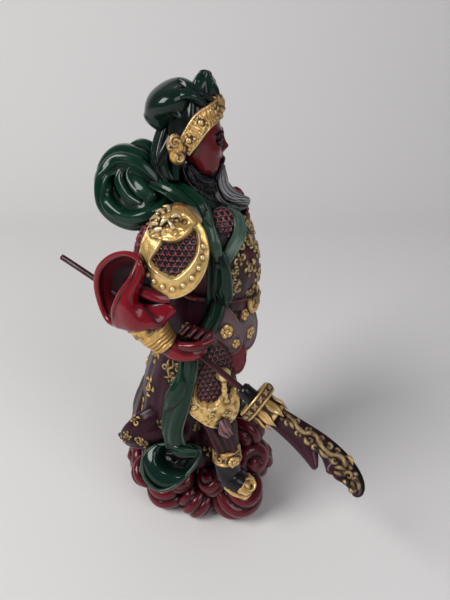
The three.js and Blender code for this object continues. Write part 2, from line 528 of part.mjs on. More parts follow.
// The scarf: round the neck, down both sides of the chest to the belt, with its end hanging to the hip.
function scarf() {
  const pleats = (count, deep) => (angle) => deep * cos(count * angle);
  const strip = (sides, steps) => skin({ places: [at(-17, 24, 243), at(-22, 10, 240), at(-25, -4, 231),
    at(-23.5, -13, 217), at(-22.5, -19, 203), at(-24, -18, 188), at(-25, -16, 176)],
    wide: [9, 10, 7.5, 5, 5, 5, 4.5], thick: [3.4, 3.4, 3.2, 3, 3, 3, 3],
    wideAlong: [facing(1, 0.2, 0), facing(1, 0.1, 0.1), facing(0.9, -0.4, 0.3), facing(0.75, -0.6, 0.1),
      facing(0.7, -0.7, 0), facing(0.7, -0.7, 0), facing(0.7, -0.7, 0)], sides, steps, ends: 1.5,
    carve: pleats(5, 0.6) });
  const cross = skin({ places: [at(9, -17.5, 219), at(-4, -22, 209), at(-19, -22, 195)],
    wide: [5, 5.5, 4], thick: 2, wideAlong: facing(0.8, 0, 0.6), sides: 6, steps: 3, ends: 1.5 });
  const collar = skin({ places: [at(-16, -5, 229), at(0, -14, 222), at(16, -5, 229)], wide: [6, 5, 6],
    thick: 4, wideAlong: UP, sides: 6, steps: 4, ends: 2 });
  const tails = skin({ places: [at(-25, -18, 178), at(-31, -14, 166), at(-38, -8, 154), at(-42, -3, 140)],
    wide: [5, 5.5, 6.5, 8], thick: 3, wideAlong: facing(0.6, -0.8, 0), sides: 8, steps: 3, ends: 2,
    carve: pleats(4, 0.6) });
  const farStrip = flipped(strip(6, 5)).translate(-2 * share, 6 * share, -2 * share);
  return [strip(8, 7), farStrip, collar, cross, tails];
}

// The scarf's two great loops behind the shoulders, each a fat roll round a smaller one.
function loops() {
  const big = skin({ places: [at(-17, 20, 238), at(-15, 33, 253), at(-14, 47, 255), at(-17, 53, 246),
    at(-21, 49, 234), at(-26, 38, 228.5), at(-30, 25, 230)], wide: [9, 11, 12, 12.5, 12.5, 11, 8],
    thick: [5, 6, 6.6, 7, 7, 6.6, 6], wideAlong: [facing(1, 0, 0), facing(1, 0.1, 0.1), facing(1, 0.2, 0.2),
      facing(1, 0.1, 0.3), facing(0.95, 0, 0.35), facing(0.9, 0, 0.4), facing(0.8, 0, 0.4)],
    sides: 10, steps: 12, loop: true, carve: (angle) => 0.8 * cos(5 * angle) });
  const inner = skin({ places: [at(-19, 44, 247), at(-24, 37, 241), at(-28, 27, 235)], wide: [5, 7, 6],
    thick: [5, 6, 4], wideAlong: facing(0.9, 0, 0.4), sides: 6, steps: 3, ends: 4 });
  const knot = skin({ places: [at(-8, 22, 244), at(-5, 32, 256), at(-4, 40, 256), at(-6, 44, 246)],
    wide: [8, 8, 8, 7], thick: [4.5, 5, 5, 4.5], wideAlong: LEFT, sides: 8, steps: 3, ends: 3 });
  const far = mass({ centre: at(14, 33, 238), radii: [11, 14, 15], sides: 10, rows: 6 });
  return [big, inner, knot, far];
}

// The end of the sash: from under the fist down to the clouds, where it curls into an open cup.
function sash() {
  const hang = skin({ places: [at(-42, -1, 152), at(-45, 2, 134), at(-47.5, 6, 114), at(-48.5, 10, 94),
    at(-49, 12, 78)], wide: [6, 7, 9, 9, 8], thick: [3, 3, 2.6, 2.6, 3], wideAlong: facing(-0.15, -1, 0),
    sides: 8, steps: 5, ends: 2, carve: (angle) => 0.6 * cos(4 * angle) });
  const cup = plate({ centre: at(-45, 17, 57), towards: facing(-0.72, 0.05, 0.69), behind: 14, sides: 14,
    rows: [0.4, 0.75, 0.92, 1],
    outline: (a) => [20.5 * cos(a), 16 * sin(a) + 1.5 * cos(2 * a)],
    relief: (rho) => (rho > 0.95 ? 1 : 12 * rho * rho - 6) });
  return [hang, cup];
}

// The wire shaft runs in a shallow bow from behind the sleeve, through the fist, into the ferrule.
const shaftBack = at(-30, 83.6, 196.8);
const shaftFront = at(-57.3, -41, 132.1);
const shaftPath = new THREE.QuadraticBezierCurve3(shaftBack,
  shaftBack.clone().lerp(shaftFront, 0.5).add(new THREE.Vector3(0, 0, 2 * SHAFT_BOW)), shaftFront);

function rod(radius, beyond = 0) {
  const section = new THREE.Shape().absarc(0, 0, radius, 0, 2 * PI);
  const path = beyond === 0 ? shaftPath : new THREE.CatmullRomCurve3([
    shaftBack.clone().addScaledVector(shaftPath.getTangent(0), -beyond),
    ...shaftPath.getPoints(8), shaftFront.clone().addScaledVector(shaftPath.getTangent(1), beyond)]);
  return new THREE.ExtrudeGeometry(section, { steps: 10, curveSegments: 5, extrudePath: path });
}

// The blade head. Ferrule, guard and collar stand on the shaft's line. The blade, which is drawn along its
// own axis with its sharp side up, turns a little away from it.
const headAxis = shaftPath.getTangent(1);
const bladeAxis = facing(-0.272, -0.918, -0.288);
const bladeNormal = facing(-0.642, -0.05, 0.765);
const bladeSide = bladeNormal.clone().cross(bladeAxis).normalize();
const ferruleStart = shaftFront.clone().addScaledVector(headAxis, -SHAFT_INSERT);
const guardCentre = ferruleStart.clone().addScaledVector(headAxis, FERRULE_LENGTH + GUARD_THICKNESS / 2);
const bladeRoot = guardCentre.clone().addScaledVector(headAxis, GUARD_THICKNESS / 2 + COLLAR_LENGTH);

function placed(geometry, along, side, from) {
  const basis = new THREE.Matrix4().makeBasis(along, side, along.clone().cross(side));
  return geometry.applyMatrix4(basis).translate(from.x, from.y, from.z);
}

// A turned piece along +X, from a profile of radius and place.
function turning(profile, sides = 12) {
  return new THREE.LatheGeometry(profile.map(([r, x]) => new THREE.Vector2(r, x)), sides).rotateZ(-PI / 2);
}

function bladeOutline() {
  const [l, w] = [BLADE_LENGTH / 62, BLADE_WIDTH / 20.5];
  const outline = new THREE.Shape();
  outline.moveTo(-1 * l, 6 * w);
  outline.lineTo(24 * l, 5.8 * w);
  outline.bezierCurveTo(44 * l, 5.6 * w, 61 * l, -2 * w, 61 * l, -11 * w);
  outline.quadraticCurveTo(60.5 * l, -14.6 * w, 57 * l, -14.4 * w);
  outline.quadraticCurveTo(54 * l, -11.6 * w, 48.5 * l, -11.6 * w);
  outline.quadraticCurveTo(45 * l, -12.6 * w, 42.8 * l, -10.8 * w);
  outline.quadraticCurveTo(39.5 * l, -12.4 * w, 38.4 * l, -10.2 * w);
  outline.quadraticCurveTo(34 * l, -6 * w, 30 * l, -4 * w);
  outline.quadraticCurveTo(32.5 * l, -8 * w, 34.2 * l, -11.5 * w);
  outline.quadraticCurveTo(34 * l, -14.8 * w, 31.2 * l, -13.8 * w);
  outline.quadraticCurveTo(18 * l, -8.4 * w, -1 * l, -6 * w);
  return outline;
}

function bladeHead() {
  const blade = new THREE.ExtrudeGeometry(bladeOutline(), { depth: BLADE_THICKNESS, bevelEnabled: false,
    curveSegments: 3 }).translate(0, 0, -BLADE_THICKNESS / 2);
  const g = GUARD_DIAMETER / 2;
  const half = GUARD_THICKNESS / 2;
  const f = FERRULE_DIAMETER / 2;
  const guard = turning([[0, -half], [g * 0.86, -half], [g, -half * 0.5], [g * 0.93, 0], [g, half * 0.5],
    [g * 0.86, half], [0, half]], 16);
  const collar = turning([[0, half - 0.5], [g * 0.62, half - 0.5], [g * 0.66, half + COLLAR_LENGTH * 0.4],
    [g * 0.5, half + COLLAR_LENGTH + 1], [0, half + COLLAR_LENGTH + 1]], 10).scale(1, 1, 0.75);
  const ferrule = turning([[0, 0], [f * 0.8, 0], [f, 2], [f, FERRULE_LENGTH + 1],
    [0, FERRULE_LENGTH + 1]], 10);
  const side = bladeSide.clone().addScaledVector(headAxis, -bladeSide.dot(headAxis)).normalize();
  const whole = joined([
    solid(placed(ferrule, headAxis, side, ferruleStart)),
    solid(placed(guard, headAxis, side, guardCentre)),
    solid(placed(collar, headAxis, side, guardCentre)),
    solid(placed(blade, bladeAxis, bladeSide, bladeRoot)),
  ]);
  return whole.subtract(solid(rod(SHAFT_DIAMETER / 2 + SHAFT_CLEARANCE, SHAFT_CLEARANCE)));
}

// A casting is solid: pockets that the parts close in between them are filled, by leaving out their walls.
function withoutPockets({ vertProperties, triVerts, numProp }) {
  const corners = [];
  for (let i = 0; i < vertProperties.length; i += numProp) {
    corners.push(new THREE.Vector3(...vertProperties.slice(i, i + 3)));
  }
  const root = corners.map((_, i) => i);
  const find = (i) => {
    while (root[i] !== i) {
      root[i] = root[root[i]];
      i = root[i];
    }
    return i;
  };
  const triangles = [];
  for (let i = 0; i < triVerts.length; i += 3) triangles.push([...triVerts.slice(i, i + 3)]);
  for (const [a, b, c] of triangles) {
    root[find(b)] = find(a);
    root[find(c)] = find(a);
  }
  const volume = new Map();
  for (const [a, b, c] of triangles) {
    const shell = find(a);
    volume.set(shell, (volume.get(shell) ?? 0) + corners[a].dot(corners[b].clone().cross(corners[c])));
  }
  return { corners, triangles: triangles.filter(([a]) => volume.get(find(a)) > 0) };
}

// A casting has no fine slivers either: edges shorter than this are drawn together where two parts cross, as
// long as no face turns over and the surface stays closed.
function fettled({ corners, triangles }, shortest = FINEST_EDGE) {
  const faces = triangles.map((face) => [...face]);
  const around = corners.map(() => new Set());
  faces.forEach((face, k) => face.forEach((v) => around[v].add(k)));
  const neighbours = (v) => new Set([...around[v]].flatMap((k) => faces[k]).filter((w) => w !== v));
  const normal = ([a, b, c]) => corners[b].clone().sub(corners[a]).cross(corners[c].clone().sub(corners[a]));
  const drawTogether = (kept, gone) => {
    const beside = neighbours(gone);
    if ([...neighbours(kept)].filter((v) => beside.has(v)).length !== 2) return;
    const moving = [...around[gone]].filter((k) => !faces[k].includes(kept));
    const turnsOver = moving.some((k) => {
      const [before, after] = [normal(faces[k]), normal(faces[k].map((v) => (v === gone ? kept : v)))];
      if (after.length() < 1e-3) return true;
      return before.length() > 1e-3 && before.normalize().dot(after.normalize()) < 0.6;
    });
    if (turnsOver) return;
    for (const k of [...around[gone]]) {
      if (faces[k].includes(kept)) {
        faces[k].forEach((v) => around[v].delete(k));
        faces[k] = [];
      } else {
        faces[k] = faces[k].map((v) => (v === gone ? kept : v));
        around[kept].add(k);
      }
    }
    around[gone].clear();
  };
  for (const limit of [shortest / 4, shortest / 2, shortest]) {
    for (const k of faces.keys()) {
      for (let e = 0; e < 3 && faces[k].length; e += 1) {
        const [a, b] = [faces[k][e], faces[k][(e + 1) % 3]];
        if (corners[a].distanceTo(corners[b]) < limit) drawTogether(a, b);
      }
    }
  }
  return { corners, triangles: faces.filter((face) => face.length) };
}

function asGeometry({ corners, triangles }) {
  const numbers = new Map();
  for (const v of triangles.flat()) if (!numbers.has(v)) numbers.set(v, numbers.size);
  const faces = triangles.map((face) => face.map((v) => numbers.get(v)));
  return closedMesh([...numbers.keys()].map((v) => corners[v]), faces);
}

function figure() {
  const parts = [
    ...clouds(), ...robe(), ...torso(), ...belt(), ...tassets(), ...scaleSkirt(), ...legs(),
    ...[...face(), ...hat(), ...headband()].map((part) => turned(part, HEAD_TURN)), ...beard(),
    ...shoulders(), ...rightArm(), ...leftArm(), ...scarf(), ...loops(), ...sash(),
  ];
  const casting = solid(asGeometry(fettled(withoutPockets(joined(parts.map(solid)).getMesh()))));
  const above = new THREE.BoxGeometry(4 * HEIGHT, 4 * HEIGHT, 2 * HEIGHT).translate(0, 0, HEIGHT);
  return casting.intersect(solid(above)).subtract(solid(rod(SHAFT_DIAMETER / 2 + SHAFT_CLEARANCE, 2)));
}

function welded(geometry) {
  geometry.deleteAttribute('normal');
  geometry.deleteAttribute('uv');
  return mergeVertices(geometry, 1e-4);
}

function named(name, geometry, color, roughness, metalness) {
  const mesh = new THREE.Mesh(geometry, new THREE.MeshStandardMaterial({ color, roughness, metalness }));
  mesh.name = name;
  return mesh;
}

const group = new THREE.Group();
group.add(named('figure', asGeometry(withoutPockets(figure().getMesh())), 0x5a1a20, 0.35, 0.1));
group.add(named('polearm_shaft', welded(rod(SHAFT_DIAMETER / 2)), 0x3a1418, 0.4, 0));
group.add(named('blade_head', asGeometry(withoutPockets(bladeHead().getMesh())), 0x402028, 0.35, 0.2));

export default group;
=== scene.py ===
# %% [markdown]
# # A painted figurine of a bearded general on clouds
# The real object is one casting of resin, painted by hand: dark red lacquer, deep green enamel, gold that was
# rubbed with a dark wash, and scale armour picked out in red. A wire shaft runs through its fist and carries a cast
# blade head. Everything here is shaped in millimetres in the frame of the measured model, and turned into metres
# when the meshes are made.

# %% The frame, and the tools that shape and paint
import math
import bmesh
import bpy
import numpy as np
from mathutils import Matrix, Vector
from mathutils.bvhtree import BVHTree


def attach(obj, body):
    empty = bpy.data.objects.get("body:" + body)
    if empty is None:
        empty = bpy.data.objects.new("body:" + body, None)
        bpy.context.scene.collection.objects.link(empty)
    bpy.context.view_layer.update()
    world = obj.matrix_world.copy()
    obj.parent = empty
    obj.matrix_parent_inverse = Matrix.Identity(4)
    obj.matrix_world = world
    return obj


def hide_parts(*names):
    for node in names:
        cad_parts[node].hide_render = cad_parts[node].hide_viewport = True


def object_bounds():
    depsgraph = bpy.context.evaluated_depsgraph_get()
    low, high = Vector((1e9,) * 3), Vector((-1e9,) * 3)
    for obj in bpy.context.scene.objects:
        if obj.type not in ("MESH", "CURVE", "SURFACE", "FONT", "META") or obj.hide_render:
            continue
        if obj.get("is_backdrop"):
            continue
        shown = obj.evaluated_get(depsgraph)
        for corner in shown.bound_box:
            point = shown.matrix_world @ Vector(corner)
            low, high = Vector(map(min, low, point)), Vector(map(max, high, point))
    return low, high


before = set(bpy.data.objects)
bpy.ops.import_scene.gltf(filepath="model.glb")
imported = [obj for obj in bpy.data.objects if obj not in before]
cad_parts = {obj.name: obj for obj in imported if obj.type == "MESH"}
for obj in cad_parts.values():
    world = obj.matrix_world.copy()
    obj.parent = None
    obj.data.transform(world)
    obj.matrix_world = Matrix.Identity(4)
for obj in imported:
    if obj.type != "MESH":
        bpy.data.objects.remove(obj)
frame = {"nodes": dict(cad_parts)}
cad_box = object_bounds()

MM = 0.001
UP, LEFT, FRONT = (0, 0, 1), (1, 0, 0), (0, -1, 0)
TURN = 2 * math.pi
HEAD_TURN = math.radians(15)
cos, sin, pi = np.cos, np.sin, math.pi
print("nodes of the model:", ", ".join(frame["nodes"]))

# %% [markdown]
# ## Where the photograph was taken from
# The camera stands to the figure's right and a little in front, above its head, and looks down at it. Its place was
# found by lining the model up with the picture, so the lens is set by its height in pixels and nothing is shifted.

# %% The camera
AZIMUTH, DOWN, TO_THE_RIGHT = math.radians(-75), math.radians(27), math.radians(2.2)
AWAY, ABOVE = 307, 318                      # mm from the figure's axis, and over the ground
FOCAL_LENGTH, PICTURE_HEIGHT = 520, 600     # in pixels
SENSOR = 24                                 # mm
level = Vector((-sin(AZIMUTH), cos(AZIMUTH), 0))
level = level * cos(TO_THE_RIGHT) + level.cross(Vector(UP)) * sin(TO_THE_RIGHT)
sideways = level.cross(Vector(UP))
looking = level * cos(DOWN) - Vector(UP) * sin(DOWN)
camera = bpy.data.objects.new("camera", bpy.data.cameras.new("camera"))
camera.data.sensor_fit = "VERTICAL"
camera.data.sensor_height = SENSOR
camera.data.lens = SENSOR * FOCAL_LENGTH / PICTURE_HEIGHT
camera.data.clip_start = 0.01
turn = Matrix((sideways, sideways.cross(looking), -looking)).transposed().to_4x4()
place = Vector((AWAY * sin(AZIMUTH), -AWAY * cos(AZIMUTH), ABOVE)) * MM
camera.matrix_world = Matrix.Translation(place) @ turn
bpy.context.collection.objects.link(camera)
bpy.context.scene.camera = camera
print("camera at", [round(v, 3) for v in camera.location])

# %% [markdown]
# ## Shaping by formula
# Cloth, hair and clouds flow along lines, so most pieces are swept: a rounded section travels along a smooth curve
# through a few places, with its own width and thickness at each. Modelling each fold by hand would take a sculptor;
# here a fold, a lock of hair or a groove is a wave added across the section.

# %% Curves and sizes along them
HASH = (73856093, 19349663, 83492791, 1274126177)       # large numbers that scatter the hills
FINENESS = 0.82                         # thins sweeps, reliefs, balls and sheets: a million triangles is the limit
fewer = lambda *counts: [max(6, round(FINENESS * n)) for n in counts]
share = lambda x: np.clip(x, 0, 1)
around = lambda sides: np.arange(sides) * TURN / sides          # the angles of the points in one ring


def unit(v):
    v = np.asarray(v, float)
    return v / np.maximum(np.linalg.norm(v, axis=-1, keepdims=True), 1e-12)


def bump(x, middle, width):
    """Rises smoothly to 1 at its middle."""
    return np.exp(-((x - middle) / width) ** 2)


def waves(*rows):
    """Waves over a sweep, each with its height, how many go round the section and how far they turn along it."""
    return lambda a, t: sum(high * cos(count * a + twist * t) for high, count, twist in rows)


def cubic(a, b, c, d, f):
    """Between b and c, for f from 0 to 1, on a smooth line that comes from a and goes on to d."""
    return b + 0.5 * f * (c - a + f * (2 * a - 5 * b + 4 * c - d + f * (3 * (b - c) + d - a)))


def through(values, t):
    """A smooth value through evenly spaced stations, at t from 0 to 1."""
    v, t = np.asarray(values, float), np.asarray(t, float)
    if v.ndim == 0:
        return np.full(t.shape, float(v))
    last = len(v) - 1
    where = share(t) * last
    i = np.minimum(where.astype(int), last - 1)
    f = where - i
    if v.ndim == 2:
        f = f[..., None]
    return cubic(v[np.maximum(i - 1, 0)], v[i], v[i + 1], v[np.minimum(i + 2, last)], f)


def on_curve(places, t, loop=False):
    """Points of a smooth curve through places, which doesn't overshoot at its bends."""
    p, t = np.asarray(places, float), np.asarray(t, float)
    n = len(p)
    s = (n if loop else n - 1) * (t % 1 if loop else share(t))
    i = np.floor(s).astype(int)
    if not loop:
        i = np.minimum(i, n - 2)
    w = (s - i)[..., None]
    if loop:
        p0, p1, p2, p3 = p[(i - 1) % n], p[i % n], p[(i + 1) % n], p[(i + 2) % n]
    else:
        ext = np.vstack([2 * p[0] - p[1], p, 2 * p[-1] - p[-2]])
        p0, p1, p2, p3 = ext[i], ext[i + 1], ext[i + 2], ext[i + 3]
    gap = lambda a, b: np.maximum(np.sqrt(np.linalg.norm(b - a, axis=-1, keepdims=True)), 1e-4)
    d0, d1, d2 = gap(p0, p1), gap(p1, p2), gap(p2, p3)
    t1 = ((p1 - p0) / d0 - (p2 - p0) / (d0 + d1) + (p2 - p1) / d1) * d1
    t2 = ((p2 - p1) / d1 - (p3 - p1) / (d1 + d2) + (p3 - p2) / d2) * d1
    return p1 + w * (t1 + w * (-3 * p1 + 3 * p2 - 2 * t1 - t2 + w * (2 * p1 - 2 * p2 + t1 + t2)))


def wobble(p, size):
    """Soft random hills from -1 to 1, as large as size, the same on every run."""
    q = np.asarray(p, float) / size
    i = np.floor(q).astype(np.int64)
    f = q - i
    f = f * f * (3 - 2 * f)
    total = 0
    for corner in np.ndindex(2, 2, 2):
        a, b, c = [i[..., k] + corner[k] for k in range(3)]
        n = (a * HASH[0]) ^ (b * HASH[1]) ^ (c * HASH[2])
        n = (n ^ (n >> 13)) * HASH[3]
        weight = np.prod([f[..., k] if corner[k] else 1 - f[..., k] for k in range(3)], axis=0)
        total = total + weight * ((n & 0xffff) / 32767.5 - 1)
    return total


def hills(x, y, size):
    return wobble(np.stack([x, y, 0 * x], -1), size)


def lumps(rows, x, y):
    """Soft lumps and dents, each with its place, its half-sizes along x and y, and its height."""
    return sum(high * np.exp(-((x - x0) / wide) ** 2 - ((y - y0) / tall) ** 2) for x0, y0, wide, tall, high in rows)


print("curves and hills ready")

# %% A shape is its points, its four-sided and three-sided faces, and a mark that can choose a second paint
def lattice(rows, columns, round_way, closed=False):
    """Four-sided faces between rows of points. round_way closes each row, closed joins the last row to the first."""
    i = np.arange(rows if closed else rows - 1)[:, None]
    j = np.arange(columns if round_way else columns - 1)[None]
    i2, j2 = (i + 1) % rows, (j + 1) % columns
    return np.stack([i * columns + j, i * columns + j2, i2 * columns + j2, i2 * columns + j], -1).reshape(-1, 4)


def shape(points, quads, triangles=(), mark=None):
    """Faces are turned outwards by the sign of the volume."""
    v = np.asarray(points, float)
    q, t = np.asarray(quads, int).reshape(-1, 4), np.asarray(triangles, int).reshape(-1, 3)
    all_t = np.vstack([q[:, [0, 1, 2]], q[:, [0, 2, 3]], t])
    m = v - v.mean(0)
    if np.einsum("ij,ij->i", m[all_t[:, 0]], np.cross(m[all_t[:, 1]], m[all_t[:, 2]])).sum() < 0:
        q, t = q[:, ::-1], t[:, ::-1]
    return v, q, t, np.zeros(len(v)) if mark is None else np.broadcast_to(np.asarray(mark, float), (len(v),))


def capped(points, sides, mark=None):
    """Rings of points. The last two points close them with a fan at either end."""
    rows = (len(points) - 2) // sides
    k, last = np.arange(sides), (rows - 1) * sides
    k2 = (k + 1) % sides
    fans = np.vstack([np.c_[np.full(sides, rows * sides), k2, k],
                      np.c_[np.full(sides, rows * sides + 1), last + k, last + k2]])
    return shape(points, lattice(rows, sides, True), fans, mark)


class Sweep:
    """A section that travels along places. wide and thick are half-sizes, along is the wide side's direction."""
    def __init__(self, places, wide, thick=None, along=LEFT, square=2, loop=False, carve=None):
        self.places, self.wide, self.thick = places, wide, wide if thick is None else thick
        self.along, self.square, self.loop, self.carve = np.asarray(along, float), square, loop, carve

    def frame(self, t):
        d = 1e-4
        low, high = (t - d, t + d) if self.loop else (share(t - d), share(t + d))
        forward = unit(on_curve(self.places, high, self.loop) - on_curve(self.places, low, self.loop))
        side = through(self.along, t) if self.along.ndim == 2 else np.broadcast_to(self.along, forward.shape)
        a = unit(side - (side * forward).sum(-1, keepdims=True) * forward)
        return on_curve(self.places, t, self.loop), forward, a, np.cross(forward, a)

    def at(self, t, angle, lift=0.0, size=1.0, out=0.0):
        """Points on the surface and the directions that stand out from it."""
        t, angle = np.broadcast_arrays(np.asarray(t, float), np.asarray(angle, float))
        centre, forward, a, b = self.frame(t)
        rim = lambda x: np.sign(x) * np.abs(x) ** (2 / self.square)
        w, h = [(through(v, t) * size)[..., None] for v in (self.wide, self.thick)]
        c, s = cos(angle)[..., None], sin(angle)[..., None]
        normal = unit(a * h * c + b * w * s)
        raised = (self.carve(angle, t) * size if self.carve else 0) + lift
        out = np.broadcast_to(out, t.shape)[..., None]
        raised = np.broadcast_to(raised, t.shape)[..., None]
        return centre + forward * out + a * w * rim(c) + b * h * rim(s) + normal * raised, normal

    def shape(self, rings, sides, ends=0.0, mark=0):
        """ends is how far its rounded ends stand out. mark is a number or mark(angle, t)."""
        rings, sides = fewer(rings, sides)
        t = np.linspace(0, 1, rings, endpoint=not self.loop)
        size, out = np.ones(rings), np.zeros(rings)
        if ends > 0:
            cap = np.radians(np.arange(10, 90, 16))        # five rings that narrow towards the tip
            t = np.r_[np.zeros(len(cap)), t, np.ones(len(cap))]
            size = np.r_[cos(cap)[::-1], size, cos(cap)]
            out = np.r_[-ends * sin(cap)[::-1], out, ends * sin(cap)]
        angle = around(sides)
        grid, _ = self.at(t[:, None], angle[None], size=size[:, None], out=out[:, None])
        m = np.broadcast_to(mark(angle[None], t[:, None]) if callable(mark) else mark, grid.shape[:2])
        v = grid.reshape(-1, 3)
        if self.loop:
            return shape(v, lattice(len(t), sides, True, True), mark=m.ravel())
        centres, forward, _, _ = self.frame(np.array([0.0, 1.0]))
        v = np.vstack([v, centres[:1] - forward[:1] * ends, centres[1:] + forward[1:] * ends])
        return capped(v, sides, np.r_[m.ravel(), m[0, 0], m[-1, 0]])


print("a sweep is ready")

# %% [markdown]
# Armour plates, medallions, flowers and the beast's mask face one way, so they are reliefs: a height over an outline
# that may be oval or drawn through a few points. Clouds and knobs start from a ball. Cloth that hangs free is a sheet
# with a thickness.

# %% Reliefs, balls and sheets
def facing(towards, upright=UP):
    """Axes of a relief: across it, up it and out of it."""
    towards = unit(towards)
    across = unit(np.cross(upright, towards))
    return across, np.cross(towards, across), towards


def in_space(centre, axes, *flat):
    """Points from their coordinates along the three axes."""
    return sum((c[..., None] * axis for c, axis in zip(flat, axes)), np.asarray(centre, float))


def drawn(points):
    """An outline drawn through a few points, for a plate."""
    return lambda a: np.moveaxis(on_curve(np.asarray(points, float), a / TURN, True), -1, 0)


def oval(wide, tall, taper=0.0):
    return lambda a: (wide * cos(a) * (1 - taper * sin(a)), tall * sin(a))


def plate(centre, towards, outline, relief, behind=6, upright=UP, sides=64, rows=24, mark=None, inner=None):
    """relief(r, angle, x, y) is the height, and inner is the outline of a hole that it starts from."""
    sides, rows = fewer(sides, rows)
    place = lambda *flat: in_space(centre, facing(towards, upright), *flat)
    rho = np.linspace(0, 1, rows + 1)[0 if inner else 1:][:, None]
    angle = around(sides)[None]
    w, h = [np.broadcast_to(s, angle.shape) for s in outline(angle)]
    w0, h0 = inner(angle) if inner else (0 * w, 0 * h)
    x, y = w0 + rho * (w - w0), h0 + rho * (h - h0)
    z = np.broadcast_to(relief(rho, angle, x, y), x.shape)
    m = np.broadcast_to(0 if mark is None else mark(rho, angle, x, y), x.shape)
    back = [place(s * w, s * h, np.full(w.shape, -d * behind)) for s, d in ((0.97, 0.1), (0.7, 0.7))]
    middles = place(np.zeros(2), np.zeros(2), np.array([-behind if inner else z[0].mean(), -behind], float))
    v = np.vstack([part.reshape(-1, 3) for part in (place(x, y, z), *back, middles)])
    return capped(v, sides, np.r_[m.ravel(), np.zeros(2 * sides), m[0].mean(), 0])


def ball(centre, radii, pole=UP, lift=None, rows=22, sides=32, mark=None):
    """lift(polar, angle) stands out from the ball."""
    rows, sides = fewer(rows, sides)
    polar = (np.arange(1, rows) * pi / rows)[:, None]
    angle = around(sides)[None]
    raised = np.broadcast_to(0 if lift is None else lift(polar, angle), (rows - 1, sides))
    tips = [0.0 if lift is None else lift(np.array(0.0), np.array(0.0)), 0.0]
    m = np.broadcast_to(0 if mark is None else mark(polar, angle), (rows - 1, sides))
    d = np.stack([sin(polar) * cos(angle), sin(polar) * sin(angle), cos(polar) + 0 * angle], -1)
    d = np.vstack([d.reshape(-1, 3), UP, (0, 0, -1)])
    grown = d * (np.asarray(radii, float) + np.r_[raised.ravel(), tips][:, None])
    rotate = np.array(Vector(UP).rotation_difference(Vector(unit(pole))).to_matrix())
    return capped(grown @ rotate.T + np.asarray(centre, float), sides, np.r_[m.ravel(), m[0].mean(), 0])


def net(rows):
    """A surface through a few rows of places, for cloth whose places are given one by one."""
    p = np.asarray(rows, float)

    def surface(u, v):
        u, v = np.broadcast_arrays(np.asarray(u, float), np.asarray(v, float))
        lines = np.stack([through(row, u.ravel()) for row in p])
        last = len(p) - 1
        where = share(v.ravel()) * last
        i = np.minimum(where.astype(int), last - 1)
        f, k = (where - i)[:, None], np.arange(u.size)
        return cubic(*[lines[np.clip(i + s, 0, last), k] for s in (-1, 0, 1, 2)], f).reshape(*u.shape, 3)
    return surface


def sheet(surface, across, down, thickness, mark, hoop=False, folds=None):
    """A cloth over surface(u, v), with thinner edges. folds(u, v) stand out along its normal."""
    across, down = fewer(across, down)
    columns = across if hoop else across + 1
    u, v = np.meshgrid(np.arange(columns) / across, np.arange(down + 1) / down)
    d = 1e-3
    inside = (lambda x: x) if hoop else (lambda x: share(x))
    du = surface(inside(u + d), v) - surface(inside(u - d), v)
    dv = surface(u, np.minimum(v + d, 1)) - surface(u, np.maximum(v - d, 0))
    normal = unit(np.cross(du, dv))
    thin = np.minimum(1, 0.35 + np.minimum(v, 1 - v) * down * 0.4)
    if not hoop:
        thin = np.minimum(thin, 0.35 + np.minimum(u, 1 - u) * across * 0.4)
    half = (thickness / 2 * thin)[..., None]
    base = surface(u, v)
    if folds is not None:
        base = base + normal * folds(u, v)[..., None]
    points = np.vstack([(base + normal * half).reshape(-1, 3), (base - normal * half).reshape(-1, 3)])
    n = columns * (down + 1)
    one = lattice(down + 1, columns, hoop)
    edges = []
    for row in (0, down):
        e = np.arange(row * columns, (row + 1) * columns - (0 if hoop else 1))
        e2 = row * columns + (e + 1 - row * columns) % columns
        pair = np.c_[e, e2, e2 + n, e + n]
        edges.append(pair if row else pair[:, ::-1])
    if not hoop:
        for column in (0, columns - 1):
            e = np.arange(down) * columns + column
            pair = np.c_[e, e + columns, e + columns + n, e + n]
            edges.append(pair[:, ::-1] if column else pair)
    m = np.broadcast_to(mark(u, v), u.shape).ravel()
    return shape(points, np.vstack([one, one[:, ::-1] + n] + edges), mark=np.r_[m, m])


def turned_head(s):
    """The head is modelled looking forwards and then turned to the figure's left."""
    v = s[0].copy()
    c, d = cos(HEAD_TURN), sin(HEAD_TURN)
    v[:, 0], v[:, 1] = c * s[0][:, 0] - d * s[0][:, 1], d * s[0][:, 0] + c * s[0][:, 1]
    return v, s[1], s[2], s[3]


def mirrored(s, move=(0, 0, 0)):
    return s[0] * (-1, 1, 1) + np.asarray(move, float), s[1][:, ::-1], s[2][:, ::-1], s[3]


print("reliefs, balls and sheets ready")

# %% [markdown]
# The curls on the crest are fat rolls that wind in like a snail's shell and climb towards their middle. A tapering
# roll swept along a spiral gives the deep grooves between its turns by itself, without cutting them.

# %% A roll that winds in
def snail(centre, towards, radius, start, hand, turns=1.1):
    """The middle of the roll lies a little above its centre, and climbs out of the surface."""
    s = np.linspace(0, 1, 30)
    angle = start + hand * turns * TURN * s
    r = radius * (0.68 * (1 - s) ** 0.9 + 0.02)
    places = in_space(centre, facing(towards), r * cos(angle), 0.95 * r * sin(angle) + 0.1 * radius * s,
                      radius * (0.3 * s - 0.12))
    wide = radius * 0.5 * (1 - 0.6 * s) * share(0.4 + 5 * s)
    return Sweep(places, wide, along=unit(towards)).shape(44, 16, ends=float(wide[-1]) * 0.8)


print("a winding roll is ready")

# %% [markdown]
# ## Patterns
# Scale armour on such figurines is a net of small three-armed scales, and the gold on the robe is raised
# scrollwork: bent stems with curls and leaves on them. The scales are a height over flat coordinates. The
# scrollwork is laid as thin half-sunk strips on the surface that carries it, so it is real relief.

# %% Scales, curls and strips laid on a surface
SCALE = 3.5                                  # mm from one scale to the next
STRIP_SIDES = 6


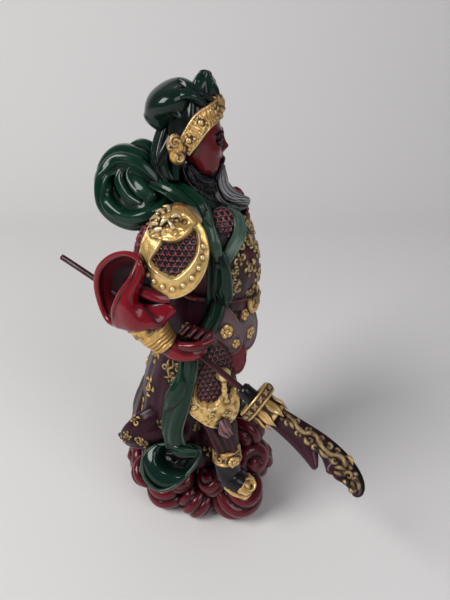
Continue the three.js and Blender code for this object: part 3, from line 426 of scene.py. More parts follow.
def scales(x, y):
    """Height from 0 to 1 of small three-armed scales, each by itself."""
    best = None
    for shift in (0.0, 0.5):
        px, py = SCALE, SCALE * math.sqrt(3)
        dx = x / px - shift
        dy = y / py - shift
        dx, dy = (dx - np.round(dx)) * px, (dy - np.round(dy)) * py
        r = np.hypot(dx, dy)
        best = (r, np.arctan2(dy, dx)) if best is None else (
            np.where(r < best[0], r, best[0]), np.where(r < best[0], np.arctan2(dy, dx), best[1]))
    r, a = best
    arm = (a - pi / 2) % (TURN / 3)
    arm = np.minimum(arm, TURN / 3 - arm)
    side = np.where(arm < pi / 3, r * sin(arm), r)
    body = share(1.5 - side / (0.15 * SCALE))
    return body * share((0.53 * SCALE - r) / (0.1 * SCALE))


def red_tops(r, a, x, y):
    """Where the second paint lies on scale armour."""
    return share(1.7 * scales(x, y) - 0.6) * (0.62 + 0.38 * sin(x * 1.7 + sin(y)) * cos(y * 1.3))


def curl(x, y, size, start=0.0, hand=1, turns=1.35):
    """A spiral that winds in to (x, y), with its width from stem to tip."""
    k = np.linspace(0, 1, 17)
    r = size * (1 - k) ** 0.8 + size * 0.08
    a = start + hand * turns * TURN * k
    return np.c_[x + r * cos(a), y + r * sin(a), 0.5 + 0.5 * sin(pi * np.minimum(1, 0.25 + k))]


def stem(points, width=1.0):
    k = np.linspace(0, 1, 12)
    p = on_curve(np.c_[np.asarray(points, float), np.zeros(len(points))], k)
    return np.c_[p[:, :2], width * (0.35 + 0.65 * sin(pi * np.clip(k, 0.06, 0.94)))]


SPRAYS = (
    (stem([(-11, -3), (-5, 3), (2, 0), (8, -4), (12, 1)], 1.25), curl(-6, -2.4, 3.2, 1.2, -1),
     curl(3.5, 4.2, 3.4, -1.5), curl(9.5, 3.2, 2.6, -2), stem([(-9, 2), (-11, 6), (-8, 8)], 1.1),
     stem([(-2, 2.5), (-3, 6.5), (0, 9)], 1.1), stem([(1, -0.5), (2, -5), (5, -7)], 1.1),
     stem([(-4, 0), (-2, -4), (-4, -7)])),
    (stem([(-12, 2), (-7, -2), (-1, 2.5), (5, 0), (11, 4)], 1.3), curl(-3.5, 6.2, 3.6, -2.2),
     curl(6.5, -4.2, 3.0, 1.8, -1), stem([(-8, -1.5), (-10, -5), (-6, -7)], 1.2),
     stem([(1, 2), (3, 6), (7, 7)], 1.2),
     stem([(5, 0), (9, -1), (12, -4)], 0.9), stem([(-1, 2), (-2, -3), (1, -5)])),
    (stem([(4.6, 0), (8, 3), (7, 7)], 1.3), stem([(-4, 2), (-8, 4), (-10, 1)], 1.2),
     stem([(-3, -3.6), (-6, -7), (-2, -8)], 1.1), stem([(2.5, -4), (5, -7.5), (9, -6)], 1.1),
     stem([(-1, 5), (-3, 9), (1, 9.5)])),
    (curl(-6, 4, 5.2, -1.2, 1, 1.25), curl(6, -4, 5.2, pi - 1.2, 1, 1.25), stem([(-5, -1.2), (0, 0), (5, 1.2)], 1.2),
     stem([(1, 1), (5, 5), (10, 4)], 1.1), stem([(-1, -1), (-5, -5), (-10, -4)], 1.1)))


def scrollwork(size, hand, kind):
    """A spray about 24 mm long before size: a bent stem, curls and leaves. A hand of -1 mirrors it."""
    middle = [curl(0, 0, 4.6, 0.5 * hand, 1, 1.7)] if kind == 2 else []
    return [p * (size, size * hand, 1) for p in (*middle, *SPRAYS[kind])]


def strips(curves, lay, width, height):
    """Half-round strips along flat curves. lay(x, y) gives points on the surface and its outward directions."""
    made, a = [], around(STRIP_SIDES)[None, :, None]
    for curve in curves:
        p, n = lay(curve[:, 0], curve[:, 1])
        forward = unit(np.gradient(p, axis=0))
        across = unit(np.cross(forward, n))
        w = (width * curve[:, 2])[:, None, None]
        w[[0, -1]] *= 0.3
        grid = p[:, None] + across[:, None] * w * cos(a) + n[:, None] * (w / width * height) * sin(a)
        v = np.vstack([grid.reshape(-1, 3), p[:1] - forward[:1] * 0.2, p[-1:] + forward[-1:] * 0.2])
        made.append(capped(v, STRIP_SIDES))
    return made


def rosette(place, normal, size):
    """A round flower with five lobes: a domed middle in a ring of puffed petals, no two quite alike."""
    odd = place[0] + 1.7 * place[2]
    lobe = lambda a: (0.45 + 0.55 * np.abs(cos(5 * a / 2 + odd)) ** 0.8) * (0.85 + 0.15 * sin(2 * a + odd))
    edge = lambda a: (size * (0.72 + 0.28 * lobe(a)) * cos(a), size * (0.72 + 0.28 * lobe(a)) * sin(a))
    puff = lambda r, a: share(np.minimum(0.35 + (r - 0.3) * 2.4, (1.1 - r) * 3)) ** 0.7
    rough = lambda x, y: wobble(np.stack([x, y, 0 * x + place[2]], -1), size * 0.4)
    relief = lambda r, a, x, y: size * (0.1 + 0.26 * lobe(a) * puff(r, a) + 0.3 * share(1 - (r / 0.36) ** 2) ** 0.5
                                        + 0.06 * rough(x, y))
    return plate(place, normal, edge, relief, size * 0.8, UP if abs(normal[2]) < 0.9 else FRONT, 40, 12)


def on_sweep(sweep, t, angle, twist=0.0, lift=0.15):
    """Lays flat millimetres on a sweep, with x across it and y back along it, about the place (t, angle)."""
    ahead, behind = min(t + 0.02, 1), max(t - 0.02, 0)
    here, _ = sweep.at(np.array([t, t, ahead, behind]), np.array([angle - 0.05, angle + 0.05, angle, angle]))
    per_radian = np.linalg.norm(here[1] - here[0]) / 0.1
    per_t = np.linalg.norm(here[2] - here[3]) / (ahead - behind)
    c, s = cos(twist), sin(twist)

    def lay(x, y):
        u, v = c * x - s * y, s * x + c * y
        return sweep.at(np.clip(t + v / per_t, 0.01, 0.99), angle + u / per_radian, lift=lift)
    return lay


def on_plate(centre, towards, height, lift=0.15, upright=UP):
    """Lays flat millimetres on a plate whose height is known over x and y."""
    axes, d = facing(towards, upright), 0.3
    point = lambda x, y: in_space(centre, axes, x, y, height(x, y) + lift)

    def lay(x, y):
        return point(x, y), unit(np.cross(point(x + d, y) - point(x - d, y), point(x, y + d) - point(x, y - d)))
    return lay


def put_on(lay, x=0, y=0):
    """One place and its outward direction."""
    return [v[0] for v in lay(np.array([float(x)]), np.array([float(y)]))]


print("patterns ready")

# %% [markdown]
# ## The painter's finishes
# Each colour on the figurine was brushed with a dark wash and wiped, so hollows stay dark and high edges shine or
# wear to a paler tone. The darkening in hollows is partly that wash and partly painted shade, also where two pieces
# meet. One shared group of nodes does that for every paint: it reads how deep and how sharp the surface is at each
# point, which is measured on the finished meshes further down, and adds brush streaks and specks. Gloss comes from a
# clear coat in each material.

# %% The shared group for hand-rubbed paint and painted shade in hollows
def build_rubbed_paint():
    g = bpy.data.node_groups.new("rubbed_paint_and_shade", "ShaderNodeTree")
    for name in ("Paint", "Second paint", "Wash and shade", "Worn"):
        g.interface.new_socket(name=name, in_out="INPUT", socket_type="NodeSocketColor")
    for name in ("Wash and shade amount", "Worn amount", "Speck size", "Roughness"):
        g.interface.new_socket(name=name, in_out="INPUT", socket_type="NodeSocketFloat")
    g.interface.new_socket(name="Color", in_out="OUTPUT", socket_type="NodeSocketColor")
    for name in ("Roughness", "Shine", "Height"):
        g.interface.new_socket(name=name, in_out="OUTPUT", socket_type="NodeSocketFloat")
    link, new = g.links.new, g.nodes.new
    given, result = new("NodeGroupInput"), new("NodeGroupOutput")

    def read(name):
        n = new("ShaderNodeAttribute")
        n.attribute_name = name
        return n.outputs["Fac"]

    def maths(kind, a, b):
        n = new("ShaderNodeMath")
        n.operation = kind
        n.use_clamp = True
        for s, v in zip(n.inputs, (a, b)):
            if isinstance(v, (int, float)):
                s.default_value = v
            else:
                link(v, s)
        return n.outputs[0]

    def blend(amount, a, b):
        n = new("ShaderNodeMix")
        n.data_type = "RGBA"
        colours = [s for s in n.inputs if s.type == "RGBA"]
        for s, v in zip([n.inputs[0]] + colours, (amount, a, b)):
            link(v, s)
        return [s for s in n.outputs if s.type == "RGBA"][0]

    where = new("ShaderNodeTexCoord").outputs["Object"]
    speck, streak = new("ShaderNodeTexNoise"), new("ShaderNodeTexNoise")
    link(where, speck.inputs["Vector"])
    link(given.outputs["Speck size"], speck.inputs["Scale"])
    speck.inputs["Detail"].default_value = 3
    stretch = new("ShaderNodeMapping")
    stretch.inputs["Scale"].default_value = (420, 420, 130)          # brush strokes run up and down
    link(where, stretch.inputs["Vector"])
    link(stretch.outputs[0], streak.inputs["Vector"])
    streak.inputs["Scale"].default_value = 1
    streak.inputs["Detail"].default_value = 4
    grain, brush = speck.outputs[0], streak.outputs[0]
    wash_and_shade_amount, worn_amount = given.outputs["Wash and shade amount"], given.outputs["Worn amount"]
    times = lambda a, b: maths("MULTIPLY", a, b)
    plus = lambda a, b: maths("ADD", a, b)
    minus = lambda a, b: maths("SUBTRACT", a, b)
    # the wash and the painted shade lie in hollows, a little more here and a little less there
    uneven = plus(times(grain, 0.5), times(brush, 0.55))
    deep = times(times(read("hollow_wash_and_shade"), wash_and_shade_amount), plus(uneven, 0.5))
    stain = times(minus(brush, 0.52), times(wash_and_shade_amount, 1.3))
    washed_and_shaded = plus(deep, stain)
    worn = times(times(read("ridge"), worn_amount), plus(uneven, 0.15))
    base = blend(read("mark"), given.outputs["Paint"], given.outputs["Second paint"])
    lighter = blend(worn, base, given.outputs["Worn"])
    link(blend(washed_and_shaded, lighter, given.outputs["Wash and shade"]), result.inputs["Color"])
    rough = plus(given.outputs["Roughness"], plus(times(washed_and_shaded, 0.25), times(minus(grain, 0.4), 0.25)))
    link(rough, result.inputs["Roughness"])
    link(minus(1.0, times(washed_and_shaded, 0.85)), result.inputs["Shine"])
    link(plus(times(grain, 0.6), times(brush, 0.6)), result.inputs["Height"])
    return g


RUBBED_AND_SHADED = build_rubbed_paint()
print("shared group:", RUBBED_AND_SHADED.name, "with", len(RUBBED_AND_SHADED.nodes), "nodes")

# %% One material for each paint
def srgb(r, g, b):
    """A colour as it looks on a screen, 0 to 255, turned into light."""
    c = np.array([r, g, b]) / 255
    return (*np.where(c < 0.04045, c / 12.92, ((c + 0.055) / 1.055) ** 2.4).tolist(), 1)


def paint(name, colour, wash_and_shade, worn, wash_and_shade_amount, rough, second=None, worn_amount=0.4, metal=0.0, coat=0.0,
          coat_rough=0.08, relief=0.15, speck=900, gloss=0.22):
    """Colours are as on a screen. second shows where a mark is, gloss is how much the bare paint reflects. The wash
    colour is both the dark wash and the painted shade in hollows.
    """
    m = bpy.data.materials.new(name)
    m.use_nodes = True
    tree = m.node_tree
    shader = tree.nodes["Principled BSDF"]
    rub = tree.nodes.new("ShaderNodeGroup")
    rub.node_tree = RUBBED_AND_SHADED
    for key, value in (("Paint", srgb(*colour)), ("Second paint", srgb(*(second or colour))),
                       ("Wash and shade", srgb(*wash_and_shade)), ("Worn", srgb(*worn)), ("Wash and shade amount", wash_and_shade_amount),
                       ("Worn amount", worn_amount), ("Speck size", speck), ("Roughness", rough)):
        rub.inputs[key].default_value = value
    tree.links.new(rub.outputs["Color"], shader.inputs["Base Color"])
    tree.links.new(rub.outputs["Roughness"], shader.inputs["Roughness"])
    if metal:
        shine = tree.nodes.new("ShaderNodeMath")
        shine.operation = "MULTIPLY"
        shine.inputs[1].default_value = metal
        tree.links.new(rub.outputs["Shine"], shine.inputs[0])
        tree.links.new(shine.outputs[0], shader.inputs["Metallic"])
    shader.inputs["Specular IOR Level"].default_value = 0.5 if metal else gloss
    shader.inputs["Coat Weight"].default_value = coat
    shader.inputs["Coat Roughness"].default_value = coat_rough
    raised = tree.nodes.new("ShaderNodeBump")
    raised.inputs["Strength"].default_value = relief
    raised.inputs["Distance"].default_value = 0.0003
    tree.links.new(rub.outputs["Height"], raised.inputs["Height"])
    tree.links.new(raised.outputs["Normal"], shader.inputs["Normal"])
    return m


# its second paint is near black: painted shade on the cuff's folds, the fist and the fingers, and the darker tone of
# the belt
CRIMSON = paint("crimson_lacquer", (116, 6, 24), second=(16, 5, 9), wash_and_shade=(10, 3, 6), worn=(150, 28, 42),
                wash_and_shade_amount=2.0, worn_amount=0.3, rough=0.22, coat=0.4, coat_rough=0.08, relief=0.02)
# a darker, duller copy of the crimson for the inside of the cuff, as painted shade; its second paint is the painted
# shade deep in the mouth
SHADED_CUFF_INSIDE = paint("shaded_cuff_inside", (98, 6, 21), second=(12, 4, 7), wash_and_shade=(7, 3, 5), worn=(120, 22, 36),
                    wash_and_shade_amount=2.0, worn_amount=0.2, rough=0.4, coat=0.12, coat_rough=0.2, relief=0.02, gloss=0.1)
# its second paint is near black: painted shade in the grooves of the clouds and on the mound between them
CLOUD_RED = paint("cloud_lacquer", (86, 8, 23), second=(7, 3, 5), wash_and_shade=(6, 2, 4), worn=(132, 34, 48),
                  wash_and_shade_amount=2.2, worn_amount=0.4, rough=0.24, coat=0.45, coat_rough=0.1, relief=0.04, gloss=0.15)
GREEN = paint("green_enamel", (5, 40, 26), second=(92, 118, 102), wash_and_shade=(2, 9, 8), worn=(46, 84, 66),
              wash_and_shade_amount=1.7, worn_amount=0.3, rough=0.2, coat=0.42, coat_rough=0.05, relief=0.06, gloss=0.1)
# its second paint is near black: painted shade under the crown, on the fall and inside the cup, and a darker tone
# over the back of the crown
HAT_GREEN = paint("hat_enamel", (7, 34, 27), second=(3, 7, 8), wash_and_shade=(3, 7, 8), worn=(24, 52, 44), wash_and_shade_amount=1.6,
                  worn_amount=0.25, rough=0.18, coat=0.5, coat_rough=0.05, relief=0.06, gloss=0.1)
GOLD = paint("rubbed_gold", (220, 172, 98), wash_and_shade=(60, 32, 12), worn=(255, 234, 184), wash_and_shade_amount=1.5,
             worn_amount=0.8, rough=0.3, metal=0.85, relief=0.45, speck=1100)
BRIGHT_GOLD = paint("bright_gold", (238, 194, 118), wash_and_shade=(66, 36, 14), worn=(255, 242, 200), wash_and_shade_amount=1.5,
                    worn_amount=0.9, rough=0.27, metal=0.85, relief=0.5, speck=1100)
OLD_GOLD = paint("worn_gold", (196, 150, 84), wash_and_shade=(30, 16, 10), worn=(240, 206, 142), wash_and_shade_amount=1.6,
                 worn_amount=0.8, rough=0.36, metal=0.7, relief=0.4, speck=1300)
ROBE = paint("robe_purple", (44, 11, 27), second=(62, 10, 20), wash_and_shade=(7, 3, 6), worn=(96, 44, 58), wash_and_shade_amount=1.8,
             worn_amount=0.35, rough=0.32, coat=0.2, coat_rough=0.15, relief=0.15, gloss=0.1)
CHEST = paint("chest_purple", (62, 42, 50), second=(98, 16, 30), wash_and_shade=(14, 7, 10), worn=(118, 90, 96),
              wash_and_shade_amount=1.5, worn_amount=0.5, rough=0.36, coat=0.3, coat_rough=0.18, relief=0.25, gloss=0.15)
MAIL = paint("scale_armour", (20, 11, 14), second=(140, 32, 48), wash_and_shade=(5, 3, 4), worn=(160, 112, 116),
             wash_and_shade_amount=1.1, worn_amount=0.5, rough=0.32, coat=0.4, coat_rough=0.14, relief=0.15)
# its second paint is the painted shade round the eyes, beside the nose and along the jaw
SKIN = paint("dark_red_skin", (96, 12, 22), second=(18, 8, 11), wash_and_shade=(12, 5, 6), worn=(136, 42, 46),
             wash_and_shade_amount=1.5, worn_amount=0.4, rough=0.28, coat=0.5, coat_rough=0.12, relief=0.08)
BEARD = paint("beard_grey", (104, 103, 106), second=(16, 13, 15), wash_and_shade=(12, 11, 12), worn=(178, 177, 180),
              wash_and_shade_amount=1.5, worn_amount=0.8, rough=0.4, coat=0.2, coat_rough=0.25, relief=0.3)
HAIR = paint("black_hair", (14, 11, 14), wash_and_shade=(4, 3, 4), worn=(96, 92, 100), wash_and_shade_amount=1.2, worn_amount=0.5,
             rough=0.3, coat=0.35, coat_rough=0.12, relief=0.2, gloss=0.12)
BLACK = paint("near_black", (15, 10, 14), wash_and_shade=(4, 3, 4), worn=(52, 42, 46), wash_and_shade_amount=0.9, rough=0.28, coat=0.4,
              coat_rough=0.1, relief=0.1, gloss=0.12)
TROUSERS = paint("trouser_red", (40, 8, 16), wash_and_shade=(5, 2, 4), worn=(104, 54, 60), wash_and_shade_amount=2.2, worn_amount=0.5,
                 rough=0.32, coat=0.35, coat_rough=0.15, relief=0.15, gloss=0.12)
PANEL = paint("panel_grey", (110, 88, 92), second=(108, 8, 26), wash_and_shade=(24, 12, 17), worn=(156, 132, 134),
              wash_and_shade_amount=1.4, rough=0.38, coat=0.25, coat_rough=0.2, relief=0.2)
SHAFT = paint("shaft_red", (50, 11, 19), wash_and_shade=(12, 5, 8), worn=(86, 38, 42), wash_and_shade_amount=0.8, rough=0.3, coat=0.35,
              coat_rough=0.15, relief=0.1)
BLADE = paint("blade_purple", (56, 16, 33), wash_and_shade=(8, 5, 8), worn=(112, 70, 82), wash_and_shade_amount=1.9, worn_amount=0.6,
              rough=0.34, coat=0.4, coat_rough=0.15, relief=0.2, gloss=0.15)
print("paints:", ", ".join(m.name for m in bpy.data.materials if m.use_nodes))

# %% Collecting the pieces
pieces = {}


def piece(name, material, shapes, slot="painted_resin", node=None):
    """Keeps one painted area, made of one or more shapes, until all are there and their hollows can be measured."""
    points, quads, triangles, marks = zip(*([shapes] if isinstance(shapes, tuple) else shapes))
    starts = np.cumsum([0] + [len(v) for v in points])
    v, q, t = np.vstack(points), *[np.vstack([f + k for f, k in zip(faces, starts)]) for faces in (quads, triangles)]
    v[:, 2] = np.maximum(v[:, 2], 0)
    pieces[name] = dict(v=v, q=q, t=t, mark=np.concatenate(marks), material=material, slot=slot, node=node)
    print(f"{name}: {len(points)} shapes, {2 * len(q) + len(t)} triangles")


print("pieces so far:", len(pieces))

# %% [markdown]
# ## The bank of clouds
# Traditional clouds are fat rolls. Each is a ball whose surface sinks along a spiral groove, so the turns show as
# crescents round its pole, and a second, darker paint fills the groove as painted shade. Where the pole faces us we
# see the whole spiral, and where it hides under the boot or the sash only the crescents below it are left.

# %% Clouds
LAST_TURN = 2.1                             # radians from the pole to where the last turn ends


def cloud(centre, radius, pole, turns, hand, start=0.0, flat=1.0, deep=0.2, sides=84, rows=76):
    """A ball wound round its pole, with as many turns as lie between the pole and just below its middle."""
    def between(polar, angle):
        """1 on top of a turn and 0 in the groove."""
        wind = turns * TURN * polar / LAST_TURN - hand * angle - start
        return np.maximum(np.abs(sin(wind / 2)), 1 - share(polar / 0.14))

    def lift(polar, angle):
        fade = share((2.5 - polar) / 0.5)
        return radius * (0.04 - deep * (1 - between(polar, angle) ** 0.55) * fade
                         + 0.012 * cos(3 * angle + 2 * polar))

    # painted shade: the grooves take the dark second paint
    return ball(centre, (radius, radius, radius * flat), pole, lift, rows, sides,
                lambda polar, angle: np.clip(1.45 - 3.4 * between(polar, angle), 0, 0.95))


near_clouds = [((-24, -26, 19), 19.5, (-0.3, -0.42, 0.86), 3.3, 1, 0.4, 1.0, 0.22),
               ((-31, 2, 14), 14.5, (-0.1, 0.72, 0.7), 3.4, -1, 1.0, 1.0, 0.2),
               ((-27, 25, 15), 16.5, (-0.25, 0.2, 0.95), 3.0, 1, 2.0, 1.0, 0.2),
               ((-24, 42, 24), 12.5, (-0.3, -0.75, 0.6), 3.0, -1, 0.5, 1.0, 0.2),
               ((-8, -31, 40), 16, (-0.72, -0.68, 0.28), 2.9, 1, 2.6, 0.95, 0.18),
               ((-2, -28, 59), 14, (-0.8, 0.35, -0.1), 3.0, -1, 0.4, 1.0, 0.2),
               ((-31, -10, 33), 11, (-0.4, 0.5, 0.75), 2.4, 1, 1.0, 1.0, 0.2),
               ((-30, 14, 31), 12, (-0.5, -0.3, 0.8), 2.4, -1, 0.0, 1.0, 0.2)]
far_clouds = [((-8, 50, 22), 14, (-0.4, 0.85, 0.35), 2.6, -1), ((10, 50, 15), 16, (0.25, 0.95, 0.3), 2.8, 1),
              ((14, -31, 17), 16.5, (0.35, -0.9, 0.35), 2.9, -1), ((26, -10, 17), 17, (0.9, -0.2, 0.45), 2.8, 1),
              ((27, 18, 17), 18, (0.9, 0.2, 0.4), 2.8, -1), ((20, -20, 40), 11.5, (0.8, -0.5, 0.4), 2.6, 1),
              ((20, 38, 27), 13, (0.6, 0.8, 0.4), 2.5, 1), ((24, 4, 36), 13, (0.9, 0, 0.5), 2.5, -1)]
mound = Sweep([(0, 5, -6), (0, 5, 16), (-2, 6, 34), (-1, 8, 50)], [26, 28, 25, 20], [43, 45, 38, 28],
              carve=lambda a, t: 1.6 * np.abs(sin(6 * a + 6 * t)) * t)
# painted shade: the mound between the clouds takes the dark second paint almost all over
piece("clouds", CLOUD_RED, [mound.shape(40, 140, mark=0.85)]
      + [cloud(*place) for place in near_clouds] + [cloud(*place, sides=56, rows=44) for place in far_clouds])

# %% [markdown]
# ## The robe
# A long gown falls from the belt in deepening folds and kicks out behind. Sprays of raised gold scrollwork are
# scattered over it. They are laid on the same formula that shapes the cloth, so they follow every fold.

# %% Robe and its gold
def robe_folds(angle, t):
    deep = 0.65 + 0.35 * sin(2 * angle + 1) * cos(3 * angle)
    return (2.6 * t * t * deep * cos(6 * angle + 2 * t + sin(2 * angle)) + 1.6 * t * sin(3 * angle)
            + 0.9 * t * cos(13 * angle + 3 * sin(4 * t) + 1.5 * sin(3 * angle)) * deep
            + 0.25 * t * cos(31 * angle + 9 * t))


robe = Sweep([(0, 0, 180), (0, 2, 160), (-1, 5.5, 132), (-1, 12, 104), (-1, 16, 76), (-2, 17, 46)],
             [29, 34, 38, 40, 40, 38], [27, 28, 28.5, 31.5, 34.5, 37], carve=robe_folds)
train = Sweep([(-18, 8, 86), (-33.5, 30, 77), (-36, 43, 70), (-35, 51, 66), (-34, 55, 65)], [13, 15, 11, 6, 2.6],
              [10, 9, 8, 5.5, 3], along=(0, 0.35, 1), carve=waves((0.8, 3, 2), (0.3, 9, 5)))
back_train = Sweep([(-6, 38, 92), (-8, 46, 74), (-8, 54, 58)], [17, 15, 7], [10, 9, 4], along=(1, 0.15, 0),
                   carve=waves((0.9, 5, 2), (0.3, 13, 5)))
piece("robe", ROBE, [robe.shape(110, 190), train.shape(60, 80, ends=2.5), back_train.shape(40, 60, ends=3)])
sprays = []
for row, t in enumerate((0.12, 0.28, 0.44, 0.6, 0.76, 0.9)):
    for k in range(9):
        angle = TURN * (k + 0.5 * (row % 2)) / 9 + 0.12 * sin(5 * k + 3 * row)
        if t > 0.55 and 2.6 < angle % TURN < 3.3:
            continue                         # the sash covers the robe there
        if row == 0 and 2.4 < angle % TURN < 3.9:
            continue                         # the robe is plain and dark under the arm
        if (k + 2 * row) % 4 == 0:
            p, n = put_on(on_sweep(robe, t, angle, lift=-0.3))
            sprays.append(rosette(p, n, 4.2))
        else:
            lay = on_sweep(robe, t, angle, twist=1.7 * k + 1.1 * row, lift=0.1)
            sprays += strips(scrollwork(0.72, 1 if k % 2 else -1, (k + row) % 3), lay, 0.85, 0.8)
for t, angle, twist, kind, size in ((0.4, 4.5, 0.4, 0, 0.42), (0.56, 5.2, 1.4, 2, 0.36), (0.78, 4.9, 0.2, 1, 0.26),
                                    (0.36, 5.9, 0.8, 3, 0.4)):
    sprays += strips(scrollwork(size, 1, kind), on_sweep(train, t, angle, twist, 0.1), 0.75, 0.7)
for t, angle, twist, kind in ((0.22, 3.15, 1.6, 2), (0.36, 2.85, 0.4, 0), (0.47, 3.3, 1.0, 1), (0.5, 2.75, 2.4, 2),
                              (0.3, 2.75, 1.2, 1), (0.3, 3.35, 0.2, 0), (0.42, 3.05, 2.0, 3), (0.56, 3.05, 0.7, 0),
                              (0.6, 2.8, 1.9, 1), (0.56, 2.5, 0.3, 2), (0.7, 2.6, 1.1, 0)):
    sprays += strips(scrollwork(0.46, -1, kind), on_sweep(robe, t, angle, twist, 0.15), 0.9, 0.9)
piece("robe_gold", OLD_GOLD, sprays)

# %% [markdown]
# ## Chest, belt and the leaves of armour
# The chest carries raised gold scrollwork on a dark ground that is rubbed with red in patches, and a bib of scales
# shows between the strips of the scarf. A narrow red belt with a gold buckle closes it. Below hang stiff leaves with
# rolled rims, two of them grey with red edges and gold flowers, and a plain red one under them.

# %% Chest, belt and leaves
chest = Sweep([(0, -2, 166), (0, -2.5, 184), (0, -1.5, 200), (0, 1, 213), (0, 5, 224), (0, 8, 233)],
              [27, 29, 31, 33, 27, 12], [28.5, 31, 30, 25.5, 17, 9])
chest.carve = lambda a, t: 0.5 * cos(9 * a + 6 * t) * sin(pi * t) + 0.25 * cos(23 * a - 5 * t)
red_rubbed = lambda a, t: np.clip(0.2 + 0.7 * sin(4 * a + 9 * t) * cos(7 * t - 2 * a), 0, 0.8) * share((0.74 - t) * 8)
piece("chest", CHEST, chest.shape(80, 150, mark=red_rubbed))
bib_height = lambda x, y: 3 - 0.028 * (x * x + y * y)
bib = plate((-20, -16, 218), (-0.8, -0.55, 0.3), oval(9.5, 14),
            lambda r, a, x, y: bib_height(x, y) + 0.9 * scales(x, y), 8, sides=110, rows=40, mark=red_tops)
piece("bib", MAIL, [bib, mirrored(bib)])
chest_gold = []
for t, angle, twist, size, kind, hand in (
        (0.585, 4.42, 0.5, 0.5, 1, 1), (0.5, 4.16, 1.1, 0.5, 3, -1), (0.38, 4.03, 0.9, 0.4, 3, 1),
        (0.31, 3.86, 0.4, 0.34, 1, -1), (0.29, 4.3, 0.3, 0.56, 2, 1), (0.2, 3.9, 1.6, 0.46, 0, 1),
        (0.45, 4.5, 2.2, 0.5, 0, 1), (0.55, 4.8, 0.4, 0.5, 1, -1), (0.36, 4.74, 1.5, 0.55, 2, -1),
        (0.2, 4.7, 0.9, 0.5, 0, 1), (0.12, 4.35, 0.2, 0.44, 1, -1), (0.5, 5.2, 0.4, 0.6, 1, 1),
        (0.3, 5.2, 2.0, 0.65, 2, -1), (0.15, 5.4, 0.4, 0.6, 0, 1), (0.3, 1.0, 0.8, 0.75, 0, 1),
        (0.5, 2.0, 0.2, 0.75, 1, -1), (0.25, 2.3, 2.0, 0.75, 2, 1)):
    chest_gold += strips(scrollwork(size, hand, kind), on_sweep(chest, t, angle, twist, 0.2), 1.0, 1.0)
piece("chest_gold", GOLD, chest_gold)
belt = Sweep([(-29, 0, 178), (-18, -23, 173.5), (0, -31, 171.5), (18, -23, 173.5), (30, 0, 178), (18, 22, 181),
              (0, 27, 182), (-18, 22, 181)], 1.9, 2.4, along=UP, loop=True, carve=waves((0.3, 5, 90)))
piece("belt", CRIMSON, belt.shape(170, 24, mark=0.45))
BUCKLE, BUCKLE_WAY = (-2, -31, 168), (-0.2, -1, 0.05)
buckle_height = lambda x, y: 3 - 2.4 * ((x / 9) ** 2 + (y / 11) ** 2)
buckle = plate(BUCKLE, BUCKLE_WAY, oval(9, 11),
               lambda r, a, x, y: buckle_height(x, y) + 0.8 * bump(r, 0.84, 0.08), sides=60)
piece("buckle", GOLD, [buckle] + strips(scrollwork(0.6, 1, 2), on_plate(BUCKLE, BUCKLE_WAY, buckle_height), 1.0, 1.0))


def leaf_of_armour(centre, towards, width, length, lean, flowers=(), red=0.0):
    """A tongue of stiff cloth with a rolled rim, and the gold flowers on it."""
    height = lambda x, y: 2.6 - 1.7 * ((x / width) ** 2 + (y / length) ** 2)
    rim = lambda r, a, x, y: height(x, y) + 0.2 + 0.8 * bump(r, 0.95, 0.05) + 0.2 * hills(x, y, 3.5)
    upright = (lean, 0, 1)
    red_edge = lambda r, a, x, y: share(red + share((r - 0.84) * 12) * share(0.5 - x)
                                        + 0.5 * share(hills(x, y, 5.5)))
    field = plate(centre, towards, oval(width, length, 0.42), rim, 5, upright, sides=72, rows=26, mark=red_edge)
    lay = on_plate(centre, towards, height, upright=upright, lift=-0.4)
    return field, [rosette(*put_on(lay, x * width, y * length), size) for x, y, size in flowers]


leaves = [leaf_of_armour((-25.5, -18.5, 156.5), (-0.78, -0.6, 0.12), 9.5, 19, -0.28,
                         ((-0.1, -0.02, 4.8), (0.38, -0.6, 3.4))),
          leaf_of_armour((-8, -27.5, 152), (-0.4, -0.9, 0.1), 11, 19, 0.0, ((-0.3, 0.45, 4.4), (0.1, -0.35, 4.6))),
          leaf_of_armour((-20.5, -22.5, 139), (-0.75, -0.65, 0.1), 7.6, 18, -0.1, red=1.0)]
far = [(mirrored(field, (0, 4, 0)), [mirrored(s, (0, 4, 0)) for s in gold]) for field, gold in leaves]
piece("armour_leaves", PANEL, [field for field, gold in leaves + far])
piece("leaf_flowers", GOLD, [s for field, gold in leaves + far for s in gold])

# %% [markdown]
# ## The skirt of scales
# Over the right thigh hangs a leaf of scale armour. Its gold border is thin at the sides and deep below, where it
# carries flowers, and a gold bar that ends in a knob comes down over the scales and makes two arches of its edge.

# %% Skirt of scales, border, bar and knob
SKIRT, SKIRT_WAY = (-37, -12, 122), (-0.85, -0.5, 0.12)
skirt_outside = [(15.8, -2.9), (13.5, 15), (8.5, 26), (0.4, 29), (-8.5, 20), (-13.4, 4.5), (-15.6, -7), (-16.4, -15),
                 (-13.5, -19.5), (-9, -24), (-3, -29), (4, -31.5), (11, -30), (16, -24), (16.8, -12)]
skirt_inside = [(14.6, -1), (12.4, 13.5), (7.8, 24), (0.4, 27), (-7.6, 18.6), (-11.8, 4.2), (-12.6, -3.5),
                (-10.4, -9.6), (-6.8, -11.6), (-3, -12.6), (1.4, -10.6), (5.5, -6), (10.2, -8.4), (13.6, -5)]
skirt_height = lambda x, y: 6 - 4.5 * ((x / 16.5) ** 2 + (y / 29) ** 2)
skirt_gold_height = lambda x, y: skirt_height(x, y) + 1.5 - 3.2 * share((y - 3) / 7) + 1.6 * share((-y - 8) / 8)
skirt_edge = lambda r, a, x, y: (skirt_gold_height(x, y) + 0.7 * bump(r, 0.07, 0.06) + 0.6 * bump(r, 0.95, 0.05)
                                 + 0.6 * hills(x, y, 2.3) * np.clip(-y / 8, 0.3, 1))
